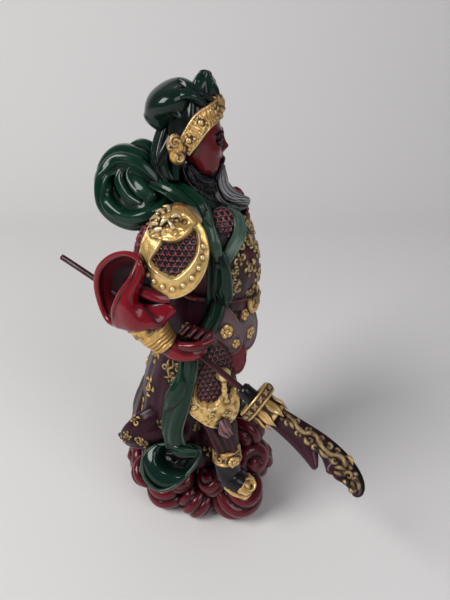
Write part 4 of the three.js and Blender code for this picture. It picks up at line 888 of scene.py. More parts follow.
field = plate(SKIRT, SKIRT_WAY, lambda a: [0.97 * s for s in drawn(skirt_outside)(a)],
              lambda r, a, x, y: skirt_height(x, y) - 0.7 + 1.1 * scales(x, y), 12, sides=170, rows=70, mark=red_tops)
border = plate(SKIRT, SKIRT_WAY, drawn(skirt_outside), skirt_edge, 4.5, sides=150, rows=22, inner=drawn(skirt_inside))
on_border = on_plate(SKIRT, SKIRT_WAY, skirt_gold_height, lift=-0.6)
skirt_gold = [border]
for x, y, size in ((-13, -12.2, 2.4), (-8.2, -16.8, 1.9), (-2.6, -18.4, 2.7), (0.2, -23.6, 1.5), (7.3, -20.4, 3.6),
                   (13.4, -16.5, 2.3), (-13.4, -2, 1.1), (3.6, -27, 1.7), (15, -7, 1.1), (11.6, -24.6, 1.9),
                   (-6.4, -22, 1.4)):
    p, n = put_on(on_border, x, y)
    skirt_gold.append(rosette(p, n, size) if size > 1.7 else ball(p, (size, size, size * 0.8), n, rows=8, sides=12))
on_scales = on_plate(SKIRT, SKIRT_WAY, skirt_height, lift=0.6)
bar_places = [put_on(on_scales, x, y)[0] for x, y in ((6.1, 8), (6.2, 0), (6.2, -7), (6, -14))]
bar = Sweep(bar_places, [1.6, 1.8, 2.4, 5.2], [1.7, 1.8, 1.8, 1.4], along=(-0.5, 0.85, 0),
            carve=waves((0.2, 0, 30)))
knob = ball(put_on(on_scales, 6.1, 8.4)[0], (4.7, 4.7, 4.7), lift=lambda p, a: 0.2 * cos(6 * a) * sin(p), sides=36)
skirt_gold += [bar.shape(40, 24, ends=1), knob]
far_side = (0, 7, 0)
piece("skirt_scales", MAIL, [field, mirrored(field, far_side)])
piece("skirt_gold", BRIGHT_GOLD, skirt_gold + [mirrored(s, far_side) for s in skirt_gold[:-2]])
lining = Sweep([(-43.5, -20, 99), (-46.5, -23, 94.5), (-46.5, -25.5, 91.5)], [2.6, 4.2, 2.6], 1.3,
               along=(0.3, -0.75, 0.5), carve=lambda a, t: 0.6 * cos(3 * a + 5 * t) + 0.35 * cos(7 * a + 2))
piece("lining", PANEL, lining.shape(24, 28, ends=1.2, mark=lambda a, t: 0.4 + 0.3 * sin(3 * a + 5 * t)))

# %% [markdown]
# ## Legs and boots
# Loose trousers are gathered into a gold cuff, and the black boots have gold toe caps with a ring.

# %% Trousers, cuffs, boots
trouser_folds = lambda a, t: (1.0 * cos(5 * a + 2 * t) + 0.6 * np.abs(cos(6 * a + 5 * t))
                              + 0.35 * cos(17 * a + 6 * t))
trousers = Sweep([(-27, -5, 106), (-34, -15.5, 89), (-38, -21.5, 71)], [10.5, 10.6, 8.6], carve=trouser_folds)
piece("trousers", TROUSERS, trousers.shape(50, 110))
two_bands = lambda a, t: 0.8 * bump(t, 0.1, 0.09) + 0.8 * bump(t, 0.9, 0.09)
trouser_cuff = Sweep([(-38, -21.5, 73.5), (-39, -22.5, 64)], [8.8, 9.4], carve=two_bands)
cuff_gold = [trouser_cuff.shape(30, 64)]
for k in range(9):
    cuff_gold += strips([curl(0, 0, 2.6, k, 1 if k % 2 else -1)], on_sweep(trouser_cuff, 0.5, TURN * k / 9, lift=0.2),
                        0.7, 0.8)
cuff_gold.append(rosette((-46.5, -28.5, 69), (-0.75, -0.65, 0.15), 4.2))


def boot(ankle, heel, toe, width, height):
    """A soft black boot with a gold sole and toe cap, and a ring on the cap."""
    ankle, heel, toe = [np.array(v, float) for v in (ankle, heel, toe)]
    leg = Sweep([ankle, (ankle + heel) / 2, heel], [width * 0.95, width * 0.98, width], carve=waves((0.3, 4, 7)))
    creases = lambda a, t: 0.3 * cos(3 * a) + 0.2 * cos(26 * t) * (t < 0.5)
    foot = Sweep([heel, (heel + toe) / 2, toe], [width, width * 1.02, width * 0.78],
                 [height, height * 0.92, height * 0.62], carve=creases)
    low = np.array((0, 0, -height * 0.55))
    sole = Sweep([heel + low + (toe - heel) * 0.1, (heel + toe) / 2 + low, toe + low * 0.72],
                 [width, width * 1.07, width * 0.9], 2.2, square=3)
    cap = Sweep([heel * 0.25 + toe * 0.75, toe], [width * 0.9, width * 0.82], [height * 0.74, height * 0.66],
                carve=lambda a, t: 0.3 + 0.7 * share(1 - abs(t - 0.08) / 0.1) + 0.25 * cos(6 * a))
    ring_relief = lambda r, a, x, y: 1.0 + 1.3 * bump(r, 0.76, 0.15) + 1.0 * bump(r, 0, 0.24)
    ring = plate(toe + (-2.2, -0.6, height * 0.5), (-0.6, -0.35, 0.7), oval(4.9, 4.9), ring_relief, 5, sides=40,
                 rows=18)
    gold = [sole.shape(30, 40, ends=3), cap.shape(16, 48, ends=3.6), ring]
    return [leg.shape(20, 48), foot.shape(36, 48, ends=3.5)], gold


right_boot, right_gold = boot((-39, -22.5, 66), (-39, -23, 50), (-41.5, -38, 44), 9.3, 8.6)
left_boot, left_gold = boot((19, -13, 66), (20, -16, 57), (25, -37, 52), 8.5, 8)
piece("boots", BLACK, right_boot + left_boot)
piece("boot_gold", GOLD, cuff_gold + right_gold + left_gold)

# %% [markdown]
# ## The head
# The face is a plain, calm one of this model's own, drawn on the usual proportions: eyes half way down the head,
# five eye widths across it. The skull is a sweep, and brow, nose, lips and chin are low hills on its front.

# %% Face
LEVELS, HALF_WIDTHS = [243, 250, 260, 270, 282], [7.5, 12.5, 15, 15.2, 13]
FEATURES = ((0, 258, 2.1, 2.6, 3.1), (0, 261.5, 1.6, 3.6, 2.2), (0, 266, 1.5, 3, 1.2), (2.6, 257.2, 1.3, 1.4, 1.0),
            (6, 268.8, 5, 1.6, 1.3), (9, 259, 3.4, 3.2, 1.1), (6.2, 264.6, 3.6, 2.2, -2.0), (0, 253.2, 3.6, 0.9, 1.1),
            (0, 250.9, 3.2, 1.0, 1.2), (0, 252.1, 4.4, 0.45, -0.5), (0, 246.6, 3.2, 2, 1.4),
            (0, 248.9, 3.4, 0.8, -0.6))
SHADOWS = ((6, 265.6, 4.2, 2.6, 0.75), (3.6, 259.5, 1.6, 3, 0.6), (0, 252.1, 4.4, 0.6, 0.7))


def on_face(angle, t):
    """How far from the middle, how high, and how much a place on the skull looks forwards."""
    return np.abs(through(HALF_WIDTHS, t) * cos(angle)), through(LEVELS, t), share(-sin(angle) * 1.6)


def features(angle, t):
    x, z, front = on_face(angle, t)
    return lumps(FEATURES, x, z) * front


def shading(angle, t):
    """Painted shade round the eyes, beside the nose and along the jaw."""
    x, z, front = on_face(angle, t)
    return np.clip(lumps(SHADOWS, x, z) * front + np.clip((248.5 - z) / 3, 0, 0.9), 0, 0.9)


skull = Sweep([(0, y, z) for y, z in zip((-1.5, -0.5, 1.5, 3, 5), LEVELS)], HALF_WIDTHS,
              [7, 9.6, 11.6, 12.4, 13], carve=features)
eyes, lids, brows = [], [], []
for s in (1, -1):
    eyes.append(ball((6.1 * s, -7.6, 264.3), (2.6, 2.3, 1.5), rows=16, sides=24))
    for rise, size in ((1.25, 0.62), (-1.15, 0.45)):
        lids.append(Sweep([(3.0 * s, -9.2, 264.2), (4.6 * s, -10.0, 264.3 + rise), (7.2 * s, -9.6, 264.3 + rise),
                           (9.2 * s, -7.6, 264.5)], size).shape(16, 10, ends=0.4))
    brows.append(Sweep([(1.9 * s, -10.2, 267.8), (6.5 * s, -10.0, 269.6), (11 * s, -7.2, 268.8)], [0.9, 1.3, 0.5],
                       0.8, along=UP, carve=waves((0.2, 5, 40))).shape(30, 16, ends=0.6))
piece("face", SKIN, [turned_head(s) for s in [skull.shape(110, 120, ends=3, mark=shading)] + lids])
piece("brows_and_eyes", BLACK, [turned_head(s) for s in eyes + brows])

# %% [markdown]
# ## Hat and headband
# The soft green cap rolls over to the back like a bun, with a twisted tuft in front, and a fall of cloth covers the
# neck. Under the crown and down the fall the green is painted darker, as painted shade. Its enamel is the glossiest
# thing on the figurine. A gilded band arches from ear to ear, with raised rims and a chased field with beads. It
# carries a crest of rolled curls, and a scroll lies over each ear.

# %% Hat
crown = Sweep([(0, 3, 287), (0, 12, 286.5), (0, 21, 282.5), (0, 26.5, 275)], [9, 17, 18, 12], [5.5, 10.8, 11.5, 8],
              carve=lambda a, t: 0.8 * cos(5 * a + 4 * t) * (1 - t) + 0.5 * sin(3 * a - 5 * t))
under = Sweep([(0, 6, 288), (0, 8, 277), (0, 11, 262)], [13, 16.4, 15.8], [12, 14.5, 13.5],
              carve=waves((0.5, 14, 3)))
hat_tuft = Sweep([(0, 0.5, 284), (0, -0.2, 290), (0, -0.8, 296), (0, -1.4, 299.6)], [6, 6.8, 5.6, 2.6],
                 [8, 8.2, 6.4, 2.8], carve=waves((0.9, 4, 5), (0.3, 9, -4)))
roll = Sweep([(-12, -1, 284), (-14, 6, 289.5), (-13.5, 12, 289.5), (-14, 16, 283.5), (-15.5, 13, 279.5)],
             [2.2, 3.2, 3.4, 3, 2], [2, 2.8, 2.8, 2.4, 1.6], along=(1, 0, 0.3), carve=waves((0.3, 3, 8)))
second_roll = Sweep([(-9, -4, 286), (-11, 2, 291), (-10, 8, 294), (-8, 13, 297)], [2, 2.6, 2.4, 1.2], [1.6, 2, 2, 1],
                    along=(1, 0, 0.5), carve=waves((0.3, 3, 6)))
curl_relief = lambda r, a, x, y: 4.6 * (0.3 + 0.3 * (1 - r * r) + 0.15 * cos(TURN * 1.5 * r - a) * share(5 * r))
curl_cap = plate((-11.8, 3, 289), (-0.75, -0.35, 0.55), oval(4.6, 4.6), curl_relief, 4.6 * 0.8, UP, 40, 16)
fall = Sweep([(0, 13, 279), (-1, 18, 269), (-3, 20.5, 259), (-6, 20, 250), (-9, 16, 241)], [10, 14.5, 16.5, 17, 14],
             [7, 8, 8, 7, 6], carve=waves((1.0, 5, 1), (0.6, 11, 4)))
edge_fold = Sweep([(-13, 8, 277), (-15.5, 14, 268), (-18, 20, 258), (-20, 23.5, 250), (-20, 21, 243)],
                  [2.4, 3, 3.2, 3, 2], [1.8, 2, 2.2, 2, 1.4], along=(0.2, 1, 0), carve=waves((0.3, 3, 9)))
front_fold = Sweep([(-14.5, 5, 272), (-15.5, 9, 262), (-17, 12, 254), (-19, 12, 246)], [2, 2.6, 3, 2.6],
                   [1.8, 2, 2, 1.6], along=(0.2, 1, 0), carve=waves((0.25, 3, 7)))
black_below = lambda a, t: 0.35 * share(0.4 - sin(a)) * share(1.6 * t)
hat = [crown.shape(60, 90, ends=4, mark=black_below), hat_tuft.shape(40, 60, ends=1.8), curl_cap,
       roll.shape(50, 24, ends=1.5), second_roll.shape(40, 24, ends=1.2)]
piece("hat", HAT_GREEN, [turned_head(s) for s in hat])
# painted shade: the cap under the crown is painted nearly black, and the fall and its folds darker
shade_under_hat = 0.75
piece("hat_fall", HAT_GREEN, [turned_head(under.shape(40, 96, mark=shade_under_hat))] + [
    s.shape(60, n, ends=1.5, mark=0.45) for s, n in ((fall, 90), (edge_fold, 28), (front_fold, 28))])

# %% Headband with crest, beads and ear scrolls
band_places = [(-15.6, 12, 262), (-16.6, 7.5, 268), (-15.4, 1.5, 276), (-10.5, -5, 280.5)]
band_ways = [(0, 0.8, 0.6), (0, 0.8, 0.6), (-0.1, 0.7, 0.65), (-0.26, 0.31, 0.92)]
other_side = lambda rows: [(-x, y, z) for x, y, z in rows][::-1]


def chased(a, t):
    """Raised rims and a finely chased field between them."""
    across = cos(a)
    rims = 0.6 * bump(np.abs(across), 0.84, 0.1)
    grain = wobble(np.stack(np.broadcast_arrays(110 * t, 5.5 * across, 0 * a), -1), 0.95)
    return rims + 0.42 * grain * (np.abs(across) < 0.74)


band = Sweep(band_places + [(0, -9, 282)] + other_side(band_places), [4.8, 5.2, 5.6, 5.6, 5.4, 5.6, 5.6, 5.2, 4.8],
             1.5, along=band_ways + [(0, 0.1, 1)] + other_side(band_ways), square=3, carve=chased)
band_gold = [band.shape(300, 72)]
outwards = 1 if band.at(np.array([0.5]), np.array([pi / 2]))[1][0][1] < 0 else -1
for k in range(2, 28, 4):
    t = 0.04 + 0.92 * k / 27
    if abs(t - 0.5) < 0.05:
        continue
    lay = on_sweep(band, t, outwards * pi / 2, lift=-0.05)
    for side, size in ((0.5 * sin(5 * k), 1.6), (2.6, 0.8), (-2.6, 0.8)):
        p, n = put_on(lay, side, 2.4 * (size < 1))
        band_gold.append(ball(p, (size, size, size * 0.7), n, rows=12, sides=20))
crest = [ball((0, -5.4, 283.6), (9.5, 6.2, 5.6), sides=56, rows=36,
              lift=lambda p, a: 0.9 * cos(5 * a) * sin(2 * p) + 0.5 * cos(8 * a + 1) * sin(3 * p)),
         snail((0, -10, 285), (0, -1, 0.35), 4.2, 0.5, 1)]
for s in (1, -1):
    crest += [snail((s * 5, -9, 283.4), (0.6 * s, -0.75, 0.35), 3.9, 1 + s, s, 0.9),
              snail((s * 9.2, -5.8, 282.6), (0.9 * s, -0.4, 0.3), 4.4, 2, -s, 1.0),
              snail((s * 8.2, -1.2, 284.8), (0.9 * s, -0.1, 0.4), 3.4, 1, s, 0.9),
              snail((s * 4, -7, 288), (0.4 * s, -0.6, 0.6), 3.0, 3, -s, 0.9)]
ear_outline = [(6.2, 3), (4.2, 7.4), (-0.6, 9.4), (-5.6, 7), (-7.4, 1.6), (-6, -2.6), (-5.4, -7), (-1.6, -10.6),
               (3, -9.4), (5.2, -4)]
EAR_LUMPS = ((-1.3, 3.4, 3.6, 3.6, 2.0), (0.3, -5, 2.7, 2.7, 1.8), (-4.2, 0.2, 1.7, 1.7, 1.0), (3, 0, 1.7, 1.7, 0.7),
             (-1.3, 3.4, 1.3, 1.3, -1.0), (0.2, -4.8, 1.1, 1.1, -0.8))
ear_height = lambda x, y: 2.2 + lumps(EAR_LUMPS, x, y)
EAR, EAR_WAY = (-15.4, 14.6, 262.8), (-1, -0.12, 0.1)
ear_outline = [(0.84 * x, 0.84 * y) for x, y in ear_outline]
on_ear = on_plate(EAR, EAR_WAY, ear_height, lift=-0.1)
ear_relief = lambda r, a, x, y: ear_height(x, y) - 1.9 * r ** 7 + 0.3 * hills(x, y, 1.8)
ear = [plate(EAR, EAR_WAY, drawn(ear_outline), ear_relief, 5, sides=80, rows=30)]
ear += strips([curl(-1.3, 3.4, 3.5, 0.4, 1, 1.2), curl(0.3, -5, 2.7, 2.2, -1, 1.2), curl(-4, 0.5, 1.6, 1, 1, 0.9),
               stem([(3.9, 4.2), (3.7, 0.3), (2.8, -2.8)], 1.1), stem([(-4.7, 5), (-2.5, 7), (0.8, 6.8)], 1.0)],
              on_ear, 0.85, 0.85)
ears = ear + [mirrored(s) for s in ear]
piece("headband", GOLD, [turned_head(s) for s in band_gold + crest + ears])

# %% [markdown]
# ## The beard
# Long locks fall to the chest, and the left hand draws one of them forwards. Hair is a sweep with many fine waves
# round its section that wander a little on their way down.

# %% Beard, moustache and sideburns
def hair(deep, count, twist=2.0, fine=0.3):
    return lambda a, t: (deep * cos(4 * a + twist * t) + fine * cos(count * a + 3 * sin(5 * t + a) + 1.3 * twist * t)
                         + 0.6 * fine * cos(1.7 * count * a - 4 * t))


black_root = lambda a, t: np.clip(0.9 - 4 * t, 0, 0.9) + 0 * a
mane = Sweep([(0, 7.5, 250), (0, 6.5, 241), (-1, 2.5, 231.5), (-3, -6, 223), (-6, -14, 215)], [12, 11.5, 9.5, 6.5, 3],
             [5, 4.5, 4, 3.2, 2], carve=hair(0.8, 22, 2, 0.45))
side_locks = [Sweep([(-13.2 + d, 10 - d, 255 - 2 * d), (-13.4 + d, 6.5 - d, 246 - d), (-13 + d, 2 - 1.2 * d, 238 - d),
                     (-12.5 + d, -4 - 1.4 * d, 229.5 - d), (-11.5 + d, -11 - 1.2 * d, 221 - d)],
                    [1.4, 2.4, 2.8, 2.5, 1.2], [1.3, 2.3, 2.6, 2.2, 1.0], carve=hair(0.35, 9, 5 + d, 0.3))
              for d in (-0.6, 1.6, 3.8)]
black_hair, grey_hair = [mane.shape(90, 150, ends=1.5)], []
for s in side_locks:
    strand = s.shape(70, 44, ends=1)
    black_hair += [strand, mirrored(strand)]
for s in (1, -1):
    whisker = Sweep([(0.8 * s, -11.2, 254.4), (4 * s, -10.6, 253), (6.2 * s, -8.6, 249), (6.6 * s, -6.6, 244)],
                    [0.8, 1.2, 1.0, 0.5], 0.8, carve=hair(0.1, 7, 9, 0.16))
    jaw = Sweep([(13.6 * s, 8.5, 252), (12 * s, 3.5, 245.5), (8.6 * s, -1.5, 242), (4 * s, -5.5, 242.5)],
                [1.4, 2.4, 3.0, 2.4], [1.4, 2.6, 3.2, 2.6], carve=hair(0.3, 9, 4, 0.28))
    black_hair += [turned_head(whisker.shape(36, 32, ends=0.6)), turned_head(jaw.shape(50, 36, ends=1.2))]
    for k in range(6):
        root = np.array([(14 - 1.7 * k) * s, 9 - 2.8 * k, 252.4 - 1.7 * k - (k > 2)])
        lock = Sweep([root, root + (0.5 * s, -1.2, -4), root + (-0.6 * s, -3.4, -9), root + (-2 * s, -7, -14)],
                     [0.9, 1.8, 1.9, 0.7], [0.8, 1.5, 1.6, 0.6], carve=hair(0.25, 6, 5 + k, 0.28))
        black_hair.append(turned_head(lock.shape(44, 28, ends=0.8)))
chin_tuft = Sweep([(0, -9.8, 249.8), (0, -9.6, 247.4), (0.5, -8.2, 244)], [1.6, 2.4, 2.4], [1, 1.6, 1.8],
                  carve=hair(0.2, 9, 4, 0.25))
black_hair.append(turned_head(chin_tuft.shape(36, 32, ends=0.8)))
for places, wide, thick in (
        ([(2, -8.5, 250), (1, -8.6, 244), (0.5, -10, 238), (2, -14, 232.5), (5, -19.5, 229.4), (6.5, -25, 228)],
         [2.8, 4.2, 5.0, 5.2, 4.4, 2.6], [2.6, 4.0, 4.6, 4.6, 3.8, 2.4]),
        ([(-1, -6, 247), (-2.5, -6, 240), (-2.5, -8, 233), (-0.5, -12.5, 227.5), (3, -18.5, 225.4), (5.5, -24, 226)],
         [2.6, 3.6, 3.9, 3.6, 2.8, 1.2], [2.4, 3.2, 3.6, 3.2, 2.4, 1.2]),
        ([(-4.6, -3.5, 244), (-5.8, -4, 237), (-5.5, -6.5, 229.5), (-4, -11.5, 223), (-2, -17.5, 220.5)],
         [2.2, 3.0, 3.2, 2.6, 1.0], [2.0, 2.8, 3.0, 2.4, 1.0])):
    lock = Sweep(places, wide, thick, carve=hair(0.3, 11, 3, 0.28))
    grey_hair.append(lock.shape(90, 72, ends=1.2, mark=black_root))
piece("black_hair", HAIR, black_hair)
piece("beard", BEARD, grey_hair)

# %% [markdown]
# ## The shoulders
# Each shoulder plate is a patch of scale armour, set in a gold border that is broad below and has studs, under the
# mask of a beast. Patch and border follow two outlines drawn on the same dome.

# %% Shoulder patch, border and studs
SHOULDER, SHOULDER_WAY = (-42, 7, 211.5), (-0.95, -0.08, 0.27)
shoulder_outside = [(20.3, 1), (17.4, 12.5), (13.8, 18), (9, 24.5), (2, 27), (-6.5, 22.5), (-14.9, 9.5), (-18, -4),
                    (-16.8, -14.5), (-10, -21.5), (0, -25), (11, -20.6), (18, -11)]
shoulder_inside = [(15, 2), (15, 9), (12.9, 14), (8.2, 12.4), (2.8, 8.7), (-3.1, 6.8), (-6.9, 1.8), (-10.7, -5),
                   (-7.5, -8.4), (-3, -11), (3.3, -13), (9, -8.8), (13.2, -3)]
shoulder_dome = lambda x, y: 12.5 - 8.5 * ((x / 21) ** 2 + (y / 27) ** 2) - 2 * y / 27
shoulder_height = lambda x, y: shoulder_dome(x, y) + 1.4
shoulder_border = lambda r, a, x, y: (shoulder_height(x, y) + 0.8 * bump(r, 0.07, 0.06) + 0.3 * bump(r, 0.2, 0.05)
                                      + 0.4 * bump(r, 0.96, 0.04) + 0.25 * hills(x, y, 2.4))
patch_outline = [(2.5 + 1.07 * (x - 2.5), 0.5 + 1.07 * (y - 0.5)) for x, y in shoulder_inside]
patch_relief = lambda r, a, x, y: shoulder_dome(x, y) - 0.9 + 1.15 * scales(x, y)
patch = plate(SHOULDER, SHOULDER_WAY, drawn(patch_outline), patch_relief, 6, sides=170, rows=56, mark=red_tops)
shoulder_rim = plate(SHOULDER, SHOULDER_WAY, drawn(shoulder_outside), shoulder_border, 5, sides=170, rows=24,
                     inner=drawn(shoulder_inside))
lay = on_plate(SHOULDER, SHOULDER_WAY, shoulder_height)
studs = []
for k in np.arange(7.4, 13.4, 0.66):
    middle = sum(np.array(drawn(line)(np.array(TURN * (k % 13) / 13)))
                 for line in (shoulder_outside, shoulder_inside)) / 2
    p, n = put_on(lay, *middle)
    studs.append(ball(p, (1.55, 1.55, 1.35), n, rows=10, sides=18))
print("shoulder patch and border with", len(studs), "studs")

# %% The beast's mask
MASK_BUMPS = ((1, 17, 10, 8, 3.2), (-0.9, 14.8, 2.3, 2.0, -1.9), (2.9, 17.4, 2.3, 2.0, -1.9), (-6, 19, 5, 5, 1.2),
              (-9, 13, 4, 4, 0.8), (6.2, 22, 3.2, 2.8, 1.8), (6.9, 17, 2.2, 2.0, -2.8), (1.6, 13.6, 2.6, 2.2, 1.3),
              (-3.6, 19.4, 2.6, 2.2, 1.2), (1.2, 23, 2.4, 2.0, 0.9), (-5.6, 12, 2.4, 2.0, 0.9),
              (-1.8, 11.2, 1.5, 1.2, -0.9), (4.2, 11.8, 1.6, 1.2, -0.8), (-8.6, 17, 2.2, 2.2, 0.9),
              (-9.6, 11.4, 2.0, 1.8, 0.9))


def mask_height(x, y):
    """The dome under it and the beast's brow, snout, cheek and mane, with a hollow before the ear."""
    return shoulder_dome(x, y) + 1.1 + lumps(MASK_BUMPS, x, y)


mask_outline = [(15.5, 17.5), (12.5, 21.5), (8, 25.4), (1, 26.8), (-6.5, 23.4), (-12.5, 17.5), (-14, 10), (-8.5, 7),
                (-2.5, 6), (3.6, 6.2), (8.2, 8.6), (12, 13)]
on_shoulder = lambda x, y, lift=0.0: put_on(on_plate(SHOULDER, SHOULDER_WAY, mask_height, lift=lift), x, y)
mask_middle = put_on(on_plate(SHOULDER, SHOULDER_WAY, lambda x, y: 0 * x, lift=0), 0, 16)[0]
mane_side = lambda x: np.clip(1.5 - 0.16 * (x + 6), 0.2, 1.5)
mask_relief = lambda r, a, x, y: (mask_height(x, y + 16) - 2.2 * r ** 8
                                  + 1.5 * bump(r, 0.84, 0.13) * share(0.3 - sin(a))
                                  + 0.9 * hills(x, y, 2.4) * mane_side(x))
mask = [plate(mask_middle, SHOULDER_WAY, drawn([(x, y - 16) for x, y in mask_outline]), mask_relief, 6, sides=130,
              rows=44)]


def on_mask(places, wide, thick=1.0, lift=0.3):
    """A tapering roll laid over the mask through flat places."""
    line = [on_shoulder(x, y, lift)[0] for x, y in places]
    across = np.cross(SHOULDER_WAY, np.array(line[-1]) - line[0])
    return Sweep(line, wide, thick, along=across).shape(30, 14, ends=0.5)


for x, y in ((-0.9, 14.8), (2.9, 17.4)):
    p, n = on_shoulder(x, y, -0.5)
    mask.append(ball(p, (1.5, 1.5, 1.7), n, rows=12, sides=20))
mask += [on_mask([(-4.4, 15.2), (-3, 17.4), (-0.8, 18.2)], [0.7, 1.3, 0.8], 1.1, 0.5),
         on_mask([(0.8, 19.4), (3.2, 20.6), (5.2, 19.8)], [0.8, 1.3, 0.8], 1.1, 0.5),
         on_mask([(-0.4, 17.4), (1.2, 15.4), (2.4, 13.6)], [0.9, 1.2, 1.7], 1.4, 0.3)]
for x, y, size in ((1.2, 12.6, 1.1), (3.4, 14, 1.1), (-7.2, 20.4, 1.3), (-10, 14.4, 1.3), (-4.4, 22.8, 1.2)):
    mask.append(ball(on_shoulder(x, y, 0.1)[0], (size, size, size * 0.8), SHOULDER_WAY, rows=10, sides=16))
for places in ([(-4, 13.4), (-7, 12.4), (-11, 9.4)], [(-6, 15.6), (-9, 15.6), (-12.6, 13)],
               [(-5.5, 18), (-8.6, 19), (-11.4, 17.6)], [(-3.5, 21), (-6, 22.4), (-8.6, 21.8)],
               [(-1, 22), (-2.6, 24.4), (-5, 24.6)]):
    mask.append(on_mask(places, [1.1, 1.4, 0.5], 1.0, 0.0))
draw_back = (-2, 8, -3)
piece("shoulder_scales", MAIL, [patch, mirrored(patch, draw_back)])
shoulder_gold = [shoulder_rim] + studs + mask
piece("shoulder_gold", BRIGHT_GOLD, shoulder_gold + [mirrored(s, draw_back) for s in shoulder_gold])

# %% [markdown]
# ## The right arm
# The upper sleeve is covered with scales. The wide lacquered cuff is thrown back off the forearm, so that its mouth
# gapes behind: a sheet with a fat rolled lip, with painted shade that deepens inside. Its near side is drawn as two
# more sheets, a glossy fold that hangs over the bracer and the deep pleat above it, both with painted shade in their
# folds.

# %% Sleeve and its cuff
upper = Sweep([(-28, 12, 225), (-36, 18, 212), (-41, 20, 199), (-43, 20, 190)], [12, 12.5, 11, 8],
              carve=lambda a, t: 0.9 * scales(a * 12, t * 38))
piece("upper_sleeve", MAIL, upper.shape(90, 150, mark=lambda a, t: 0.8 * scales(a * 12, t * 38)))
cuff_rim = [(-56, 22, 210.6), (-50, 31, 211.4), (-46, 43, 206.5), (-44, 52.5, 197), (-43, 55.5, 186),
            (-43, 54.5, 175), (-46, 49.5, 166.5), (-51, 42, 166), (-60, 37, 176), (-62.5, 32.5, 186),
            (-62.5, 28, 195), (-60.5, 23.5, 204)]


def cuff_mouth(u, v):
    """From the forearm, where v is 0, out to the lip. Its far side is a deep bowl."""
    lip = on_curve(cuff_rim, u % 1, True)
    root = np.array([-52, 22, 187]) + (lip - (-52, 38, 188)) * 0.42
    far_side = share(sin(pi * share((u % 1) / 0.66))) * sin(pi * share(v) ** 0.8)
    near_side = share(sin(pi * share(((u % 1) - 0.6) / 0.4))) * sin(pi * v)
    return (root + (lip - root) * v[..., None] + far_side[..., None] * np.array([9.0, 2.0, -1.0])
            + near_side[..., None] * np.array([2.5, 0.5, 0.0]))


lip = Sweep(cuff_rim, 2.1, 1.7, along=(0, 1, 0), loop=True)
# painted shade: the inside of the cuff darkens towards the forearm, deep in its mouth
shade_deep_in_cuff = lambda u, v: np.clip((0.86 - v) * 3.2, 0, 0.95)
glossy = net([[(-57, 21.8, 212), (-60, 19.8, 211.7), (-60, 19.1, 210), (-57, 19.4, 206.4), (-54, 19.6, 204)],
              [(-59, 26.4, 201.9), (-63, 23, 202.9), (-63.5, 21.3, 201.5), (-58, 22.1, 195.9), (-54, 22.2, 192.2)],
              [(-60, 33.9, 192), (-64.5, 29.8, 193.1), (-66, 25, 192.3), (-60, 23.8, 187.6), (-56, 20.9, 184)],
              [(-60, 37.8, 182.2), (-65, 33.4, 184.1), (-68, 24.4, 183.7), (-61, 17.8, 184.2), (-58, 7.7, 187.5)],
              [(-58, 39, 174), (-63, 33.9, 173.2), (-66.5, 20.6, 174.3), (-62, 10.3, 178.4), (-57, 2.8, 184.2)],
              [(-55, 38.8, 171.4), (-58, 33.9, 170), (-60, 22.8, 170.6), (-57, 12.3, 175.2), (-54, 4.8, 181.5)]])
hem_waves = lambda u, v: v * v * (0.9 * cos(11 * u + 1) + 0.5 * cos(23 * u)) - 1.4 * bump(u, 0.72, 0.07) * v
pleat = net([[(-56.5, 26, 199.5), (-57.5, 19, 197), (-57, 12, 194), (-54.5, 5, 191)],
             [(-58.5, 26.5, 194.5), (-60.5, 18.5, 192.5), (-59.8, 11.5, 190), (-57, 6, 188.3)],
             [(-57, 29, 189), (-56, 22, 187.5), (-55.5, 14, 186.5), (-54.5, 7.6, 186)],
             [(-62, 28.5, 185), (-62.6, 20, 183), (-61, 12.5, 183), (-57.5, 7, 185)]])
piece("shaded_cuff_inside", SHADED_CUFF_INSIDE, sheet(cuff_mouth, 170, 40, 2.4, shade_deep_in_cuff, hoop=True))
# painted shade: one end of the glossy fold and the crease along it are painted dark
glossy_fold_shade = lambda u, v: (np.clip((u - 0.68) * 2.4, 0, 0.9) * (v < 0.62)
                            + 0.85 * bump(u, 0.72, 0.05) * (v > 0.55))
# painted shade: the top of the pleat, under the lip, and its deep crease are painted dark
pleat_shade = lambda u, v: np.maximum(0.9 * bump(v, 0.68, 0.15), np.clip(1.0 - 4 * v, 0, 0.92))
front_roll = Sweep([(-58.5, 21.5, 211.2), (-62.6, 24.3, 203), (-64, 31, 192.5), (-64, 35.6, 183), (-61.5, 37.5, 174)],
                   [1.4, 1.9, 2.1, 2.1, 1.6], along=(0, 1, 0))
piece("cuff", CRIMSON, [lip.shape(170, 22), sheet(glossy, 90, 90, 2.6, glossy_fold_shade, folds=hem_waves),
                        sheet(pleat, 60, 50, 2.2, pleat_shade), front_roll.shape(60, 24, ends=1.2)])

# %% Bracer and fist
bands = lambda a, t: (0.8 * bump(t, 0.06, 0.05) + 0.6 * bump(t, 0.96, 0.035)
                      + 0.42 * cos(62 * (t + 0.015 * sin(3 * a))) * share((t - 0.5) * 9)
                      + 0.3 * cos(9 * a + 5 * sin(6 * t)) * sin(9 * t + 2 * a) * (t < 0.52))
bracer = Sweep([(-55, 23, 175), (-55, 17, 167), (-54, 10.5, 158.5)], [11, 9.8, 7.4], carve=bands)
bracer_gold = [bracer.shape(110, 100)]
for k in range(9):
    bracer_gold += strips([curl(0, 0, 2.4, k, 1 if k % 2 else -1, 1.1)],
                          on_sweep(bracer, 0.32, TURN * k / 9, lift=-0.1), 0.7, 0.6)
piece("bracer", GOLD, bracer_gold)
palm = Sweep([(-54, 12, 160), (-54, 3, 156), (-53, -6, 156), (-52, -11, 157.5)], [5.6, 7, 6.4, 3.6],
             [5.6, 6.6, 5.8, 3.2], carve=waves((0.25, 5, 3)))
